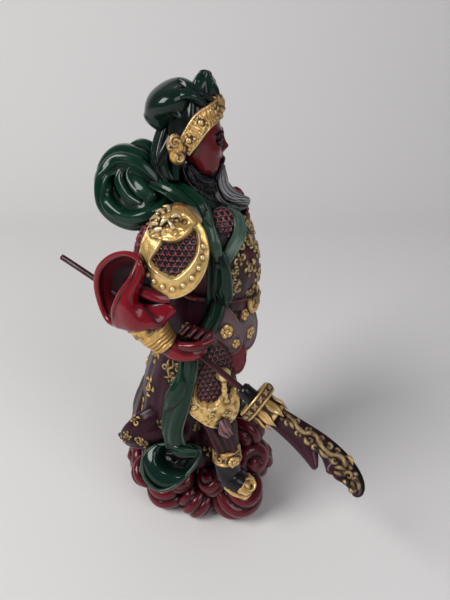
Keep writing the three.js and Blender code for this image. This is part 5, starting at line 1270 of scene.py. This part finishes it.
thumb = Sweep([(-57, 1, 160), (-58, -7, 161.6), (-55.5, -14, 163.4), (-53, -18, 165)], [3.0, 3.0, 2.2, 1.3],
              [2.6, 2.6, 1.8, 1.0], along=(-0.4, 0, 1), carve=lambda a, t: 0.35 * bump(t, 0.55, 0.12))
knuckle = lambda high: lambda a, t: high * bump(t, 0.5, 0.12)
# painted shade: the curled fingers are painted nearly black
finger_shade = lambda a, t: 0.8 + 0.15 * share(cos(a * 2)) + 0 * t
fingers = [Sweep([(-51, 2 - 4.3 * k, 164.5 - k), (-47, -1 - 4.3 * k, 167 - k), (-43, -2 - 4.3 * k, 161 - 1.3 * k)],
                 2.1, 2.4, along=FRONT, carve=knuckle(0.4)).shape(24, 22, ends=1.5, mark=finger_shade)
           for k in range(4)]
# painted shade: one side of the palm and thumb is painted darker
fist_shade = lambda a, t: np.clip(0.25 + 0.45 * cos(a - 1) * sin(3 * t), 0, 0.8)
piece("fist", CRIMSON, [palm.shape(50, 48, ends=2, mark=fist_shade), thumb.shape(36, 28, ends=1.2, mark=fist_shade)]
      + fingers)

# %% [markdown]
# ## The left arm
# It is raised, and its fingers draw the long lock of the beard forwards. Gold scrollwork runs down its sleeve.

# %% Left sleeve and hand
hanging_folds = lambda a, t: 1.6 * t * cos(5 * a) + 0.4 * t * cos(12 * a + 3 * t)
sleeves = [Sweep([(28, 14, 220), (41, 12, 203), (46, 3, 185)], [13, 13, 11], [12, 12, 11], carve=waves((0.7, 6, 4))),
           Sweep([(46, 3, 187), (37, -5, 197), (26, -10, 207), (17, -12, 215)], [10, 8.5, 6, 4],
                 carve=waves((0.6, 5, 7))),
           Sweep([(43, 0, 194), (46, 4, 176), (46, 12, 156), (44, 18, 142)], [9, 14, 17, 12], [9, 7, 5, 3],
                 along=FRONT, carve=hanging_folds)]
piece("left_sleeve", ROBE, [sleeves[0].shape(40, 72, ends=4), sleeves[1].shape(50, 64),
                            sleeves[2].shape(60, 90, ends=3)])
sleeve_gold = []
for number, t, angle in ((1, 0.35, 3.6), (1, 0.6, 5.2), (1, 0.3, 0.5), (1, 0.3, 2.0), (2, 0.3, 0), (2, 0.6, 0.5),
                         (2, 0.6, 2.6), (2, 0.35, 3.3), (2, 0.7, 4.4), (0, 0.6, 0.4), (0, 0.5, 1.9)):
    sleeve_gold += strips(scrollwork(0.62, 1 if number % 2 else -1, int(10 * t) % 3),
                          on_sweep(sleeves[number], t, angle, 0.8 + t, 0.1), 0.85, 0.85)
piece("left_sleeve_gold", GOLD, sleeve_gold)
palm_shape = Sweep([(17, -12, 215), (13.5, -13, 221), (11, -13, 228)], [3.6, 4.4, 3.8], [3.4, 3.6, 3.2])
hand = [palm_shape.shape(26, 30, ends=2.4),
        Sweep([(12, -12.6, 230), (10, -15, 233.4), (8.6, -18.4, 233.6), (8, -21, 231.8)], [2.1, 2.2, 2.0, 1.4],
              carve=knuckle(0.3)).shape(30, 20, ends=1.2)]
for k in range(3):
    hand.append(Sweep([(12.5 - k, -13.5, 226 - 3 * k), (11 - k, -19.6, 225 - 2.8 * k), (8 - k, -24, 223 - 2.2 * k)],
                      [2.0, 2.1, 1.6], carve=knuckle(0.3)).shape(26, 18, ends=1.3))
piece("left_hand", CRIMSON, hand)

# %% [markdown]
# ## Scarf, loops and sash
# One long green scarf goes round the neck, makes two great loops behind the shoulders, crosses the chest and hangs
# from the belt. Long pleats run along it, so its sweeps have waves round the section that keep their place.

# %% Scarf
def pleats(count, deep, fine=0.25):
    return lambda a, t: deep * cos(count * a) + fine * cos(2.6 * count * a + 2 * sin(6 * t))


scarf_ways = [(1, 0.2, 0), (1, 0.1, 0.1), (0.9, -0.4, 0.3), (0.75, -0.6, 0.1), (0.7, -0.7, 0), (0.7, -0.7, 0),
              (0.7, -0.7, 0), (0.7, -0.7, 0)]
over_shoulder = Sweep([(-17, 24, 243), (-22, 11, 240), (-25, -1, 233), (-26.5, -7.5, 222), (-27.5, -11, 211),
                       (-28, -12.5, 200), (-27.5, -12.5, 188), (-26.5, -13, 176)],
                      [9, 10, 8, 6, 4.6, 4.4, 4.8, 6], [3.4, 3.6, 3.4, 3.2, 3, 3, 3.2, 3.4], along=scarf_ways,
                      carve=pleats(6, 0.9))
FACING = (0.13, -0.95, -0.23)                # the wide side of a ribbon that lies flat to the camera
worn_edge = lambda a, t: 0.4 + 0.5 * share((np.abs(cos(a)) - 0.9) / 0.06) + 0 * t
left_strip = Sweep([(-26, -4.5, 231), (-31, -10, 222), (-33, -14, 212), (-32.5, -16, 205)], [3.6, 3.4, 3.3, 2.2],
                   [1.6, 1.5, 1.5, 1.2], along=FACING, carve=pleats(3, 0.25, 0.1))
right_strip = Sweep([(-5, -16, 227), (-12, -21.6, 225), (-19, -24.6, 217.5), (-26.5, -21.8, 209.5),
                     (-33, -16.5, 201)], [2.6, 3.4, 3.9, 3.8, 3.0], [1.3, 1.5, 1.6, 1.6, 1.4], along=FACING,
                    carve=pleats(3, 0.3, 0.12))
drop = Sweep([(-32, -16, 209), (-31.8, -18, 198), (-31, -18.5, 186), (-30, -19, 179), (-28.5, -19.5, 174.5)],
             [2.2, 4.2, 4.8, 3.8, 0.7], [1.2, 2, 2, 1.8, 0.8], along=FACING, carve=pleats(4, 0.45, 0.15))
turned_corner = Sweep([(-26, -6.4, 230), (-29, -8, 226.5), (-30, -11, 224)], [2.6, 2.8, 1.2], 1.3,
                      along=(0.3, -0.8, 0.5))
collar = Sweep([(-16, -4, 229), (0, -13, 222), (16, -4, 229)], [5, 4, 5], 3.4, along=UP, carve=pleats(5, 0.5))
tails = Sweep([(-26, -15, 180), (-31, -13, 168), (-37, -8, 156), (-42, -3, 142)], [5.5, 5, 5.6, 7], 3,
              along=(0.6, -0.8, 0), carve=pleats(5, 0.6))
thin_edge = lambda a, t: 0.8 * share((np.abs(cos(a)) - 0.95) / 0.04) + 0 * t
far_shoulder = mirrored(over_shoulder.shape(80, 56, ends=1.5), (-2, 6, -2))
piece("scarf", GREEN, [over_shoulder.shape(120, 80, ends=1.5), far_shoulder,
                       left_strip.shape(60, 44, ends=1.2, mark=worn_edge),
                       right_strip.shape(70, 48, ends=1.2, mark=worn_edge),
                       drop.shape(60, 52, ends=0.8, mark=thin_edge),
                       turned_corner.shape(30, 30, ends=0.8, mark=worn_edge), collar.shape(50, 48, ends=2),
                       tails.shape(60, 60, ends=2)])

# %% Loops behind the shoulders
loop_pleats = lambda a, t: 0.9 * cos(5 * a) + 0.4 * cos(9 * a + 2 * sin(TURN * t))
big = Sweep([(-17, 20, 238), (-15, 33, 253), (-14, 47, 255), (-17, 53, 246), (-21, 49, 234), (-26, 38, 228.5),
             (-30, 25, 230)], [9, 11, 12, 12.5, 12.5, 11, 8], [5, 6, 6.6, 7, 7, 6.6, 6],
            along=[(1, 0, 0), (1, 0.1, 0.1), (1, 0.2, 0.2), (1, 0.1, 0.3), (0.95, 0, 0.35), (0.9, 0, 0.4),
                   (0.8, 0, 0.4)], loop=True, carve=loop_pleats)
inner_folds = []
for places, wide, thick, wave in (
        ([(-15, 48, 250), (-18, 48.5, 242), (-22, 43, 234), (-26, 34, 230)], [6, 8, 7, 5], [3.4, 4.2, 4.2, 3.4],
         (0.5, 5, 1)),
        ([(-14, 41, 253), (-20, 41, 245), (-25, 35, 238), (-29, 27, 234)], [6, 8, 7.5, 6], [3.6, 4.4, 4.2, 3.6],
         (0.6, 5, 1)),
        ([(-14, 34, 253), (-20, 34, 247), (-25, 28, 241), (-27, 22, 238)], [6, 7.5, 7, 6], [3.4, 4, 4, 3.4],
         (0.5, 4, -1))):
    inner_folds.append(Sweep(places, wide, thick, along=(0.9, 0, 0.4), carve=waves(wave)))
knot = Sweep([(-8, 22, 246), (-5, 31, 257), (-4, 39, 258), (-6, 44, 250)], [8, 8, 8, 7], [4.5, 5, 5, 4.5],
             carve=pleats(4, 0.9))
far_loop = ball((14, 33, 238), (11, 14, 15), lift=lambda p, a: 0.7 * cos(5 * a + 2 * p) * sin(p), rows=40, sides=56)
piece("scarf_loops", GREEN, [big.shape(150, 84)] + [s.shape(50, 48, ends=3) for s in inner_folds]
      + [knot.shape(60, 48, ends=3), far_loop])

# %% Sash and its cup
edge_wear = lambda a, t: share((np.abs(cos(a)) - 0.975) / 0.02) * 0.7
sash_folds = lambda a, t: (0.4 * cos(4 * a + 2 * t) + 0.22 * cos(9 * a + 2 * sin(5 * t))
                           + 0.5 * cos(3 * a - 6 * t) * (t > 0.3))
hang = Sweep([(-42, -1, 152), (-46.5, 0.6, 135.6), (-49, 6.7, 113.7), (-51, 11, 92), (-50.5, 10, 78)],
             [5, 5.6, 8, 7.2, 7.6], [3, 2.8, 2.6, 2.8, 3], along=(-0.15, -1, 0), carve=sash_folds)
overlap = Sweep([(-45, 4, 143), (-49.5, 4, 130), (-51.5, 9.5, 118), (-51, 14, 108)], [2, 4, 4.6, 1.4],
                [1.2, 1.8, 1.8, 1], along=(-0.15, -1, 0), carve=waves((0.3, 4, 0)))
flap = Sweep([(-50, 14, 80), (-52.5, 6, 77.5), (-51, -4, 75.5)], [4.5, 5, 3], [2.4, 2.4, 1.8], along=UP,
             carve=waves((0.6, 4, 5)))
CUP, CUP_WAY = (-50, 14.5, 61), (-0.78, 0, 0.62)
cup_outline = [(20, 13.5), (9, 15.5), (-6, 13), (-15, 9), (-20, 1), (-16.5, -11.5), (-5, -18.4), (6, -13.5), (14, -4),
               (19, 4.5)]
hollow = lambda x, y: np.hypot((x - 4.5) / 14, (y - 5) / 10)


def cup_height(x, y):
    """Sinks inside the hollow, which lies high in the cup, and swells to a broad lip round it."""
    from_hollow = share((hollow(x, y) - 0.75) / 0.45)
    swell = 3.5 - 4.5 * np.clip(hollow(x, y) - 1.35, 0, 2) ** 2
    return (1 - from_hollow) * (-9 + 8 * hollow(x, y) ** 2) + from_hollow * swell


swirled = lambda r, a, x, y: cup_height(x, y) - 2.0 * r ** 10 + 0.35 * cos(9 * r - 2 * a)
# painted shade: the hollow of the cup takes the near-black second paint
cup = plate(CUP, CUP_WAY, drawn(cup_outline), swirled, 14, sides=110, rows=44,
            mark=lambda r, a, x, y: share(1.8 - 1.6 * hollow(x, y)))
rim_places = [put_on(on_plate(CUP, CUP_WAY, lambda x, y: 0 * x), 0.95 * x, 0.95 * y)[0] for x, y in cup_outline]
rim = Sweep(rim_places, 2.2, 1.4, along=CUP_WAY, loop=True)
piece("sash", GREEN, [hang.shape(120, 64, ends=2, mark=edge_wear), overlap.shape(50, 40, ends=1, mark=edge_wear),
                      flap.shape(40, 40, ends=1.5, mark=edge_wear), rim.shape(120, 24, mark=0.25)])
piece("cup", HAT_GREEN, cup)

# %% [markdown]
# ## The polearm
# A wire shaft with a slight bow runs through the fist into a dark ferrule. The guard is a pair of gold rings joined
# by a lattice, and a gold collar with a crown of pointed leaves grips the blade, whose sides carry a winding gold
# ribbon with curls, and a burst of flames near the tip.

# %% Shaft
SHAFT_BACK, SHAFT_FRONT, BOW = np.array([-30, 83.6, 196.8]), np.array([-57.3, -41, 132.1]), 3
bend = (SHAFT_BACK + SHAFT_FRONT) / 2 + (0, 0, 2 * BOW)
u = np.linspace(0, 1, 40)[:, None]
shaft_line = (1 - u) ** 2 * SHAFT_BACK + 2 * u * (1 - u) * bend + u ** 2 * SHAFT_FRONT
shaft = Sweep(shaft_line[::3], 1.8, carve=waves((0.03, 7, 60)))
piece("shaft", SHAFT, shaft.shape(120, 28), "painted_wire", "polearm_shaft")

# %% Ferrule, guard and collar
head_way = unit(SHAFT_FRONT - bend)
blade_way, blade_flat = unit([-0.272, -0.918, -0.288]), unit([-0.642, -0.05, 0.765])
blade_side = unit(np.cross(blade_flat, blade_way))
ferrule_start = SHAFT_FRONT - head_way * 8
guard_centre = ferrule_start + head_way * 12
blade_root = guard_centre + head_way * 13
guard_side = unit(blade_side - head_way * (blade_side @ head_way))
guard_flat = np.cross(head_way, guard_side)


def spoke_at(angle, flat=1.0):
    """Straight out from the shaft's line."""
    return guard_side * cos(angle) + guard_flat * sin(angle) * flat


def lathe(profile, centre, flat=1.0):
    """A turned piece on the shaft's line, from its radius and its place along the line."""
    p, a = np.asarray(profile, float), around(64)[None, :, None]
    grid = centre + p[:, 1][:, None, None] * head_way + p[:, 0][:, None, None] * spoke_at(a, flat)
    return capped(np.vstack([grid.reshape(-1, 3), *(centre + place * head_way for place in p[[0, -1], 1])]), 64)


ferrule = lathe([(3.4, 0), (3.8, 0.2), (4.5, 1.6), (4.75, 2.2), (4.6, 3), (4.6, 7.4), (4.75, 8), (4.75, 10.4)],
                ferrule_start)
piece("ferrule", BLACK, ferrule, "painted_blade", "blade_head")


def ring_of(radius, shift):
    places = [guard_centre + head_way * shift + radius * spoke_at(a) for a in around(24)]
    return Sweep(places, 0.9, loop=True, along=head_way).shape(96, 14)


GUARD_RADIUS = 11.2
guard = [ring_of(r, shift) for r, shift in ((GUARD_RADIUS, -2.3), (GUARD_RADIUS, 2.5), (6.6, -1.9), (6.6, 2.1))]
guard.append(lathe([(5.2, -2.2), (10.6, -1.9), (11.5, -1.5), (11.5, 1.7), (10.6, 2.1), (5.2, 2.2)], guard_centre))


def round_guard(x, y):
    """Flat millimetres round the rim of the guard: x along it and y across it."""
    spoke = spoke_at(np.asarray(x, float)[..., None] / GUARD_RADIUS)
    return guard_centre + spoke * 11.7 + head_way * (np.asarray(y, float)[..., None] + 0.1), spoke


CELLS = 14
step = TURN * GUARD_RADIUS / CELLS
for k in range(CELLS):
    x = k * step
    guard += strips([stem([(x, -y), (x + step / 2, 0), (x + step, y)], 1.2) for y in (2, -2)], round_guard, 0.8, 0.9)
    p, n = put_on(round_guard, x + step / 2)
    guard.append(ball(p, (0.95, 0.95, 0.9), n, rows=8, sides=12))
    for s in (-1, 1):
        bead = guard_centre + spoke_at(TURN * k / CELLS) * 8.9 + head_way * 1.9 * s
        guard.append(ball(bead, (1.3, 1.3, 0.9), head_way * s, rows=8, sides=12))
funnel = lathe([(9.4, 1.5), (9.2, 2.6), (8.2, 4.2), (7.4, 6.4), (7.1, 8.6), (7.4, 10.2), (8.5, 11.5), (9.1, 12.4),
                (9, 13.2), (8.2, 13.6), (6.2, 13.4), (5.2, 13.2)], guard_centre, 0.78)
guard.append(funnel)
for k in range(7):
    spoke = spoke_at(TURN * (k + 0.5) / 7, 0.8)
    leaf = [guard_centre + spoke * r + head_way * shift for r, shift in ((8.2, 3), (8, 7), (8.8, 11.2), (8, 16))]
    guard.append(Sweep(leaf, [2.2, 3.0, 2.4, 0.3], [0.6, 0.9, 0.9, 0.3], along=np.cross(spoke, head_way),
                       carve=lambda a, t: -0.35 * np.exp(-((a - pi / 2) / 0.35) ** 2)).shape(24, 20, ends=0.4))
piece("guard_and_collar", GOLD, guard, "painted_blade")

# %% Blade
BLADE_THICK, BLADE_BEVEL = 4.0, 0.9
outline = [(-1, 6), (24, 5.8)]


def bezier(*points):
    p, k = np.asarray(points, float), np.linspace(0, 1, 14)[1:, None]
    n = len(p) - 1
    return [tuple(v) for v in sum(math.comb(n, i) * (1 - k) ** (n - i) * k ** i * p[i] for i in range(n + 1))]


outline += bezier((24, 5.8), (44, 5.6), (61, -2), (61, -11))
for bends in (((61, -11), (60.5, -14.6), (57, -14.4)),
              ((57, -14.4), (54, -11.6), (48.5, -11.6)), ((48.5, -11.6), (45, -12.6), (42.8, -10.8)),
              ((42.8, -10.8), (39.5, -12.4), (38.4, -10.2)), ((38.4, -10.2), (34, -6), (30, -4)),
              ((30, -4), (32.5, -8), (34.2, -11.5)), ((34.2, -11.5), (34, -14.8), (31.2, -13.8)),
              ((31.2, -13.8), (18, -8.4), (-1, -6))):
    outline += bezier(*bends)


def blade_body(points):
    """The outline as a slab with rounded edges, made with bmesh, because its hook bends back on itself."""
    bm = bmesh.new()
    face = bm.faces.new([bm.verts.new((x, y, -BLADE_THICK / 2)) for x, y in points])
    grown = bmesh.ops.extrude_face_region(bm, geom=[face])["geom"]
    bmesh.ops.translate(bm, verts=[g for g in grown if isinstance(g, bmesh.types.BMVert)], vec=(0, 0, BLADE_THICK))
    bmesh.ops.recalc_face_normals(bm, faces=bm.faces[:])
    rim = [e for e in bm.edges if abs(e.verts[0].co.z - e.verts[1].co.z) < 1e-6]
    bmesh.ops.bevel(bm, geom=rim, offset=BLADE_BEVEL, segments=3, affect="EDGES", clamp_overlap=True)
    bmesh.ops.triangulate(bm, faces=bm.faces[:])
    bmesh.ops.subdivide_edges(bm, edges=[e for e in bm.edges if e.calc_length() > 4], cuts=1)
    bmesh.ops.triangulate(bm, faces=bm.faces[:])
    v = np.array([w.co[:] for w in bm.verts])
    t = np.array([[w.index for w in f.verts] for f in bm.faces])
    bm.free()
    # bmesh may number its points in another way on another run, so both lists are put in a fixed order
    order = np.lexsort(v.T)
    t = np.argsort(order)[t]
    t = np.stack([np.roll(corners, -corners.argmin()) for corners in t])
    return v[order], t[np.lexsort(t.T)]


flat, triangles = blade_body(outline)
BLADE_AXES = blade_way, blade_side, np.cross(blade_way, blade_side)
on_blade = lambda p: in_space(blade_root, BLADE_AXES, p[..., 0], p[..., 1], p[..., 2])
piece("blade", BLADE, shape(on_blade(flat), np.zeros((0, 4), int), triangles), "painted_blade")
ribbon_places = [(1.3, 4.6), (6, 3.8), (10.5, 3.1), (14.3, 0.8), (18.7, 0.2), (22, 2), (25.7, 2.1), (29, -0.1),
                 (32, -1.5), (36.9, -2.2), (40.6, -0.5), (44.2, -1), (47, -4.4)]
along_ribbon = np.linspace(0, 1, 90)
ribbon = on_curve(np.c_[ribbon_places, np.zeros(len(ribbon_places))], along_ribbon)[:, :2]
blade_lines = [np.c_[ribbon, 2.1 + 0.45 * cos(44 * along_ribbon) * sin(3 * along_ribbon)]]
for k, (x, y, size) in enumerate(((4, 1.6, 1.7), (8.6, 0.4, 1.9), (12.6, 3.6, 1.4), (16, -2.2, 1.8), (19.6, 3.2, 1.6),
                                  (23.4, -1.4, 1.9), (28.8, 2.6, 1.5), (27.6, -3.8, 1.4), (34.2, 1, 1.7),
                                  (38.6, 1.6, 1.4), (40, -4, 1.5), (47.4, -0.8, 1.2), (50.2, -7, 2.4),
                                  (54, -7.4, 1.8), (45.6, -8, 1.7), (55.4, -11.4, 1.5))):
    blade_lines.append(curl(x, y, size, 1.9 * k, 1 if k % 2 else -1, 1.1) * (1, 1, 1.5))
for line in (((48, -5), (44.6, -5.6), (41.6, -7.2)), ((48.6, -6.4), (45.4, -9), (42.4, -9.2)),
             ((49.4, -4.6), (49, -2.6), (46, -1.6)), ((50.6, -5.2), (53, -4.2), (54.6, -5.4)),
             ((50, -9), (50.6, -10.4), (48.4, -10.6)), ((52, -9), (54, -9.6), (56.2, -12.6)),
             ((53, -7), (56.6, -8), (58, -10.8)), ((30, -3), (33.6, -4.6), (37.4, -4)), ((6, 2), (10, 0.6), (13, -1)),
             ((20, -1.4), (22.6, -3.6), (26, -3)), ((43, 0.8), (46.6, 1.6), (49.6, -1))):
    blade_lines.append(stem(line, 1.9))
blade_gold = []
for face_of in (1, -1):
    def lay(x, y):
        p = np.stack([x, y, np.full(x.shape, 1.9 * face_of)], -1)
        return on_blade(p), np.broadcast_to(BLADE_AXES[2] * face_of, p.shape)
    blade_gold += strips([line.copy() for line in blade_lines], lay, 0.72, 0.75)
piece("blade_gold", GOLD, blade_gold, "painted_blade")

# %% [markdown]
# ## Measuring hollows and edges
# The wash and the painted shade need to know where the painter's brush would leave the wash and where shade falls.
# From every point a few short rays are sent out over the surface: the more that hit something close by, the deeper
# the hollow and the darker the wash and painted shade, also where two pieces meet. Few rays are enough, because each
# point looks in directions of its own and then shares what it found with its neighbours. Sharp outer edges are found
# by comparing each point with the middle of its neighbours. Both are kept on the mesh.

# %% Rays and edges, then the meshes
RAYS, REACH = 4, 6.0                        # rays from each point, and mm that each one looks ahead
OPENING = 0.92                              # the share of the half-sphere above a point that they are spread over
SHARINGS = 4                                # how often a point takes over what its neighbours found
HOLLOW_GAIN, HOLLOW_LEAST = 1.7, 0.12       # how fast the wash and painted shade deepen, and where they start
GROOVE_GAIN, EDGE_GAIN = 2.0, 5             # more wash and painted shade in a sharp groove, more wear on a sharp edge
NEIGHBOURS = ((0, 1), (1, 2), (2, 0), (1, 0), (2, 1), (0, 2))


def gathered(at, values, count):
    """Adds up vectors at the points that they belong to."""
    return np.stack([np.bincount(at, values[:, c], count) for c in range(3)], axis=1)


def normals_of(v, faces):
    f = np.cross(v[faces[:, 1]] - v[faces[:, 0]], v[faces[:, 2]] - v[faces[:, 0]])
    return unit(sum(gathered(faces[:, k], f, len(v)) for k in range(3)))


def three_sided(p):
    return np.vstack([p["q"][:, [0, 1, 2]], p["q"][:, [0, 2, 3]], p["t"]])


offsets = np.cumsum([0] + [len(p["v"]) for p in pieces.values()])
every_point = np.vstack([p["v"] for p in pieces.values()])
every_face = np.vstack([three_sided(p) + o for p, o in zip(pieces.values(), offsets)])
surfaces = BVHTree.FromPolygons(every_point.tolist(), every_face.tolist(), all_triangles=True)
dice = np.random.default_rng(7)


def occlusion_of(v, n, faces):
    """0 in the open and 1 in a deep hollow, for the wash and the painted shade."""
    side = unit(np.cross(n, np.where(np.abs(n[:, 2:3]) > 0.9, (1.0, 0, 0), (0, 0, 1.0))))
    other = np.cross(n, side)
    starts = (v + n * 0.06).tolist()
    found = np.zeros(len(v))
    cast = surfaces.ray_cast
    turned = dice.random(len(v)) * TURN
    for k in range(RAYS):
        height = np.sqrt(1 - (k + dice.random(len(v))) / RAYS * OPENING)[:, None]
        swing = (turned + k * pi * (3 - math.sqrt(5)))[:, None]
        ways = (np.sqrt(1 - height ** 2) * (side * cos(swing) + other * sin(swing)) + n * height).tolist()
        hits = [cast(start, way, REACH)[3] for start, way in zip(starts, ways)]
        found += [0.0 if hit is None else 1 - hit / REACH for hit in hits]
    found /= RAYS
    for _ in range(SHARINGS):
        total, count = found * 2, np.full(len(v), 2.0)
        for a, b in NEIGHBOURS:
            total += np.bincount(faces[:, a], found[faces[:, b]], len(v))
            count += np.bincount(faces[:, a], minlength=len(v))
        found = total / count
    return found


def ridge_of(v, n, faces):
    """Above 0 on a sharp outer edge and below it in a groove."""
    total, reach = np.zeros_like(v), np.zeros(len(v))
    for a, b in NEIGHBOURS:
        i, step = faces[:, a], v[faces[:, b]] - v[faces[:, a]]
        total += gathered(i, step, len(v))
        reach += np.bincount(i, np.linalg.norm(step, axis=1), len(v))
    return -np.einsum("ij,ij->i", total, n) / np.maximum(reach, 1e-9)


for name, p in pieces.items():
    faces = three_sided(p)
    n = normals_of(p["v"], faces)
    hollow_wash_and_shade, edge = occlusion_of(p["v"], n, faces), ridge_of(p["v"], n, faces)
    mesh = bpy.data.meshes.new(name)
    mesh.vertices.add(len(p["v"]))
    mesh.vertices.foreach_set("co", (p["v"] * MM).ravel())
    corners = np.r_[p["q"].ravel(), p["t"].ravel()]
    sizes = np.r_[np.full(len(p["q"]), 4), np.full(len(p["t"]), 3)]
    mesh.loops.add(len(corners))
    mesh.loops.foreach_set("vertex_index", corners.astype(np.int32))
    mesh.polygons.add(len(sizes))
    mesh.polygons.foreach_set("loop_start", np.r_[0, np.cumsum(sizes)[:-1]].astype(np.int32))
    mesh.update(calc_edges=True)
    mesh.validate()
    mesh.shade_smooth()
    # painted shade: hollows and places where pieces meet are darkened by how shut in they are, along with the wash
    wash_and_shade_here = share(hollow_wash_and_shade * HOLLOW_GAIN - HOLLOW_LEAST - np.minimum(edge, 0) * GROOVE_GAIN)
    for key, value in (("hollow_wash_and_shade", wash_and_shade_here), ("ridge", share(edge * EDGE_GAIN - hollow_wash_and_shade)), ("mark", p["mark"])):
        layer = mesh.attributes.new(key, "FLOAT", "POINT")
        layer.data.foreach_set("value", value.astype(np.float32))
    mesh.materials.append(p["material"])
    thing = bpy.data.objects.new(name, mesh)
    bpy.context.collection.objects.link(thing)
    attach(thing, "root")
    if p["node"]:
        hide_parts(p["node"])
    p["object"] = thing
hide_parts("figure")
print("meshes made:", len(pieces), "with", len(every_face), "triangles in all")

# %% [markdown]
# ## Floor and light
# The figurine stands on a plain pale floor that rises behind it, under a large soft light from the upper left and a
# weak one from the right.

# %% Floor, lights and world
away = np.array([-sin(AZIMUTH), cos(AZIMUTH), 0.0])
across_view = np.array([away[1], -away[0], 0.0])
NEAR_EDGE, BEND_AT, BEND_RADIUS, WALL_TOP, HALF_FLOOR = -1.6, 0.62, 0.42, 1.3, 2.6         # metres
rise = np.radians(np.arange(0, 91, 6))
profile = [(NEAR_EDGE, 0.0), *((BEND_AT + BEND_RADIUS * sin(b), BEND_RADIUS * (1 - cos(b))) for b in rise),
           (BEND_AT + BEND_RADIUS, WALL_TOP)]
floor_mesh = bpy.data.meshes.new("floor")
floor_points = [tuple(away * d + across_view * w + (0, 0, h)) for d, h in profile for w in (-HALF_FLOOR, HALF_FLOOR)]
floor_mesh.from_pydata(floor_points, [], [(2 * i, 2 * i + 1, 2 * i + 3, 2 * i + 2) for i in range(len(profile) - 1)])
floor_mesh.shade_smooth()
floor = bpy.data.objects.new("floor", floor_mesh)
bpy.context.collection.objects.link(floor)
ground = bpy.data.materials.new("pale_floor")
ground.use_nodes = True
ground.node_tree.nodes["Principled BSDF"].inputs["Base Color"].default_value = srgb(224, 222, 222)
ground.node_tree.nodes["Principled BSDF"].inputs["Roughness"].default_value = 0.85
floor.data.materials.append(ground)
floor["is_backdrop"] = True


def soft_light(name, place, aim, size, watts, colour=(1, 1, 1)):
    lamp = bpy.data.lights.new(name, "AREA")
    lamp.size, lamp.energy, lamp.color = size, watts, colour
    holder = bpy.data.objects.new(name, lamp)
    holder.location = place
    holder.rotation_euler = (Vector(aim) - Vector(place)).to_track_quat("-Z", "Y").to_euler()
    bpy.context.collection.objects.link(holder)


soft_light("window", (-1.0, 0.95, 1.35), (0, 0, 0.1), 0.9, 29, (1, 0.99, 0.97))
soft_light("room", (-0.9, -1.1, 1.0), (0, 0, 0.15), 0.9, 8, (0.96, 0.98, 1))
world = bpy.data.worlds.new("soft_world")
world.use_nodes = True
world.node_tree.nodes["Background"].inputs["Color"].default_value = srgb(222, 224, 228)
world.node_tree.nodes["Background"].inputs["Strength"].default_value = 0.21
bpy.context.scene.world = world
bpy.context.scene.view_settings.view_transform = "Standard"
print("floor, two lights and world are set")

# %% [markdown]
# ## Size
# Both boxes, of the measured model and of the dressed figurine, are printed. The dressed figurine has to stay
# inside the measured model's box.

# %% Boxes, then finish
new_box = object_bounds()
as_numbers = lambda box: [[float(c) for c in corner] for corner in box]
print("measured model:", as_numbers(cad_box))
print("dressed model: ", as_numbers(new_box))
{"cad": as_numbers(cad_box), "visual": as_numbers(new_box)}
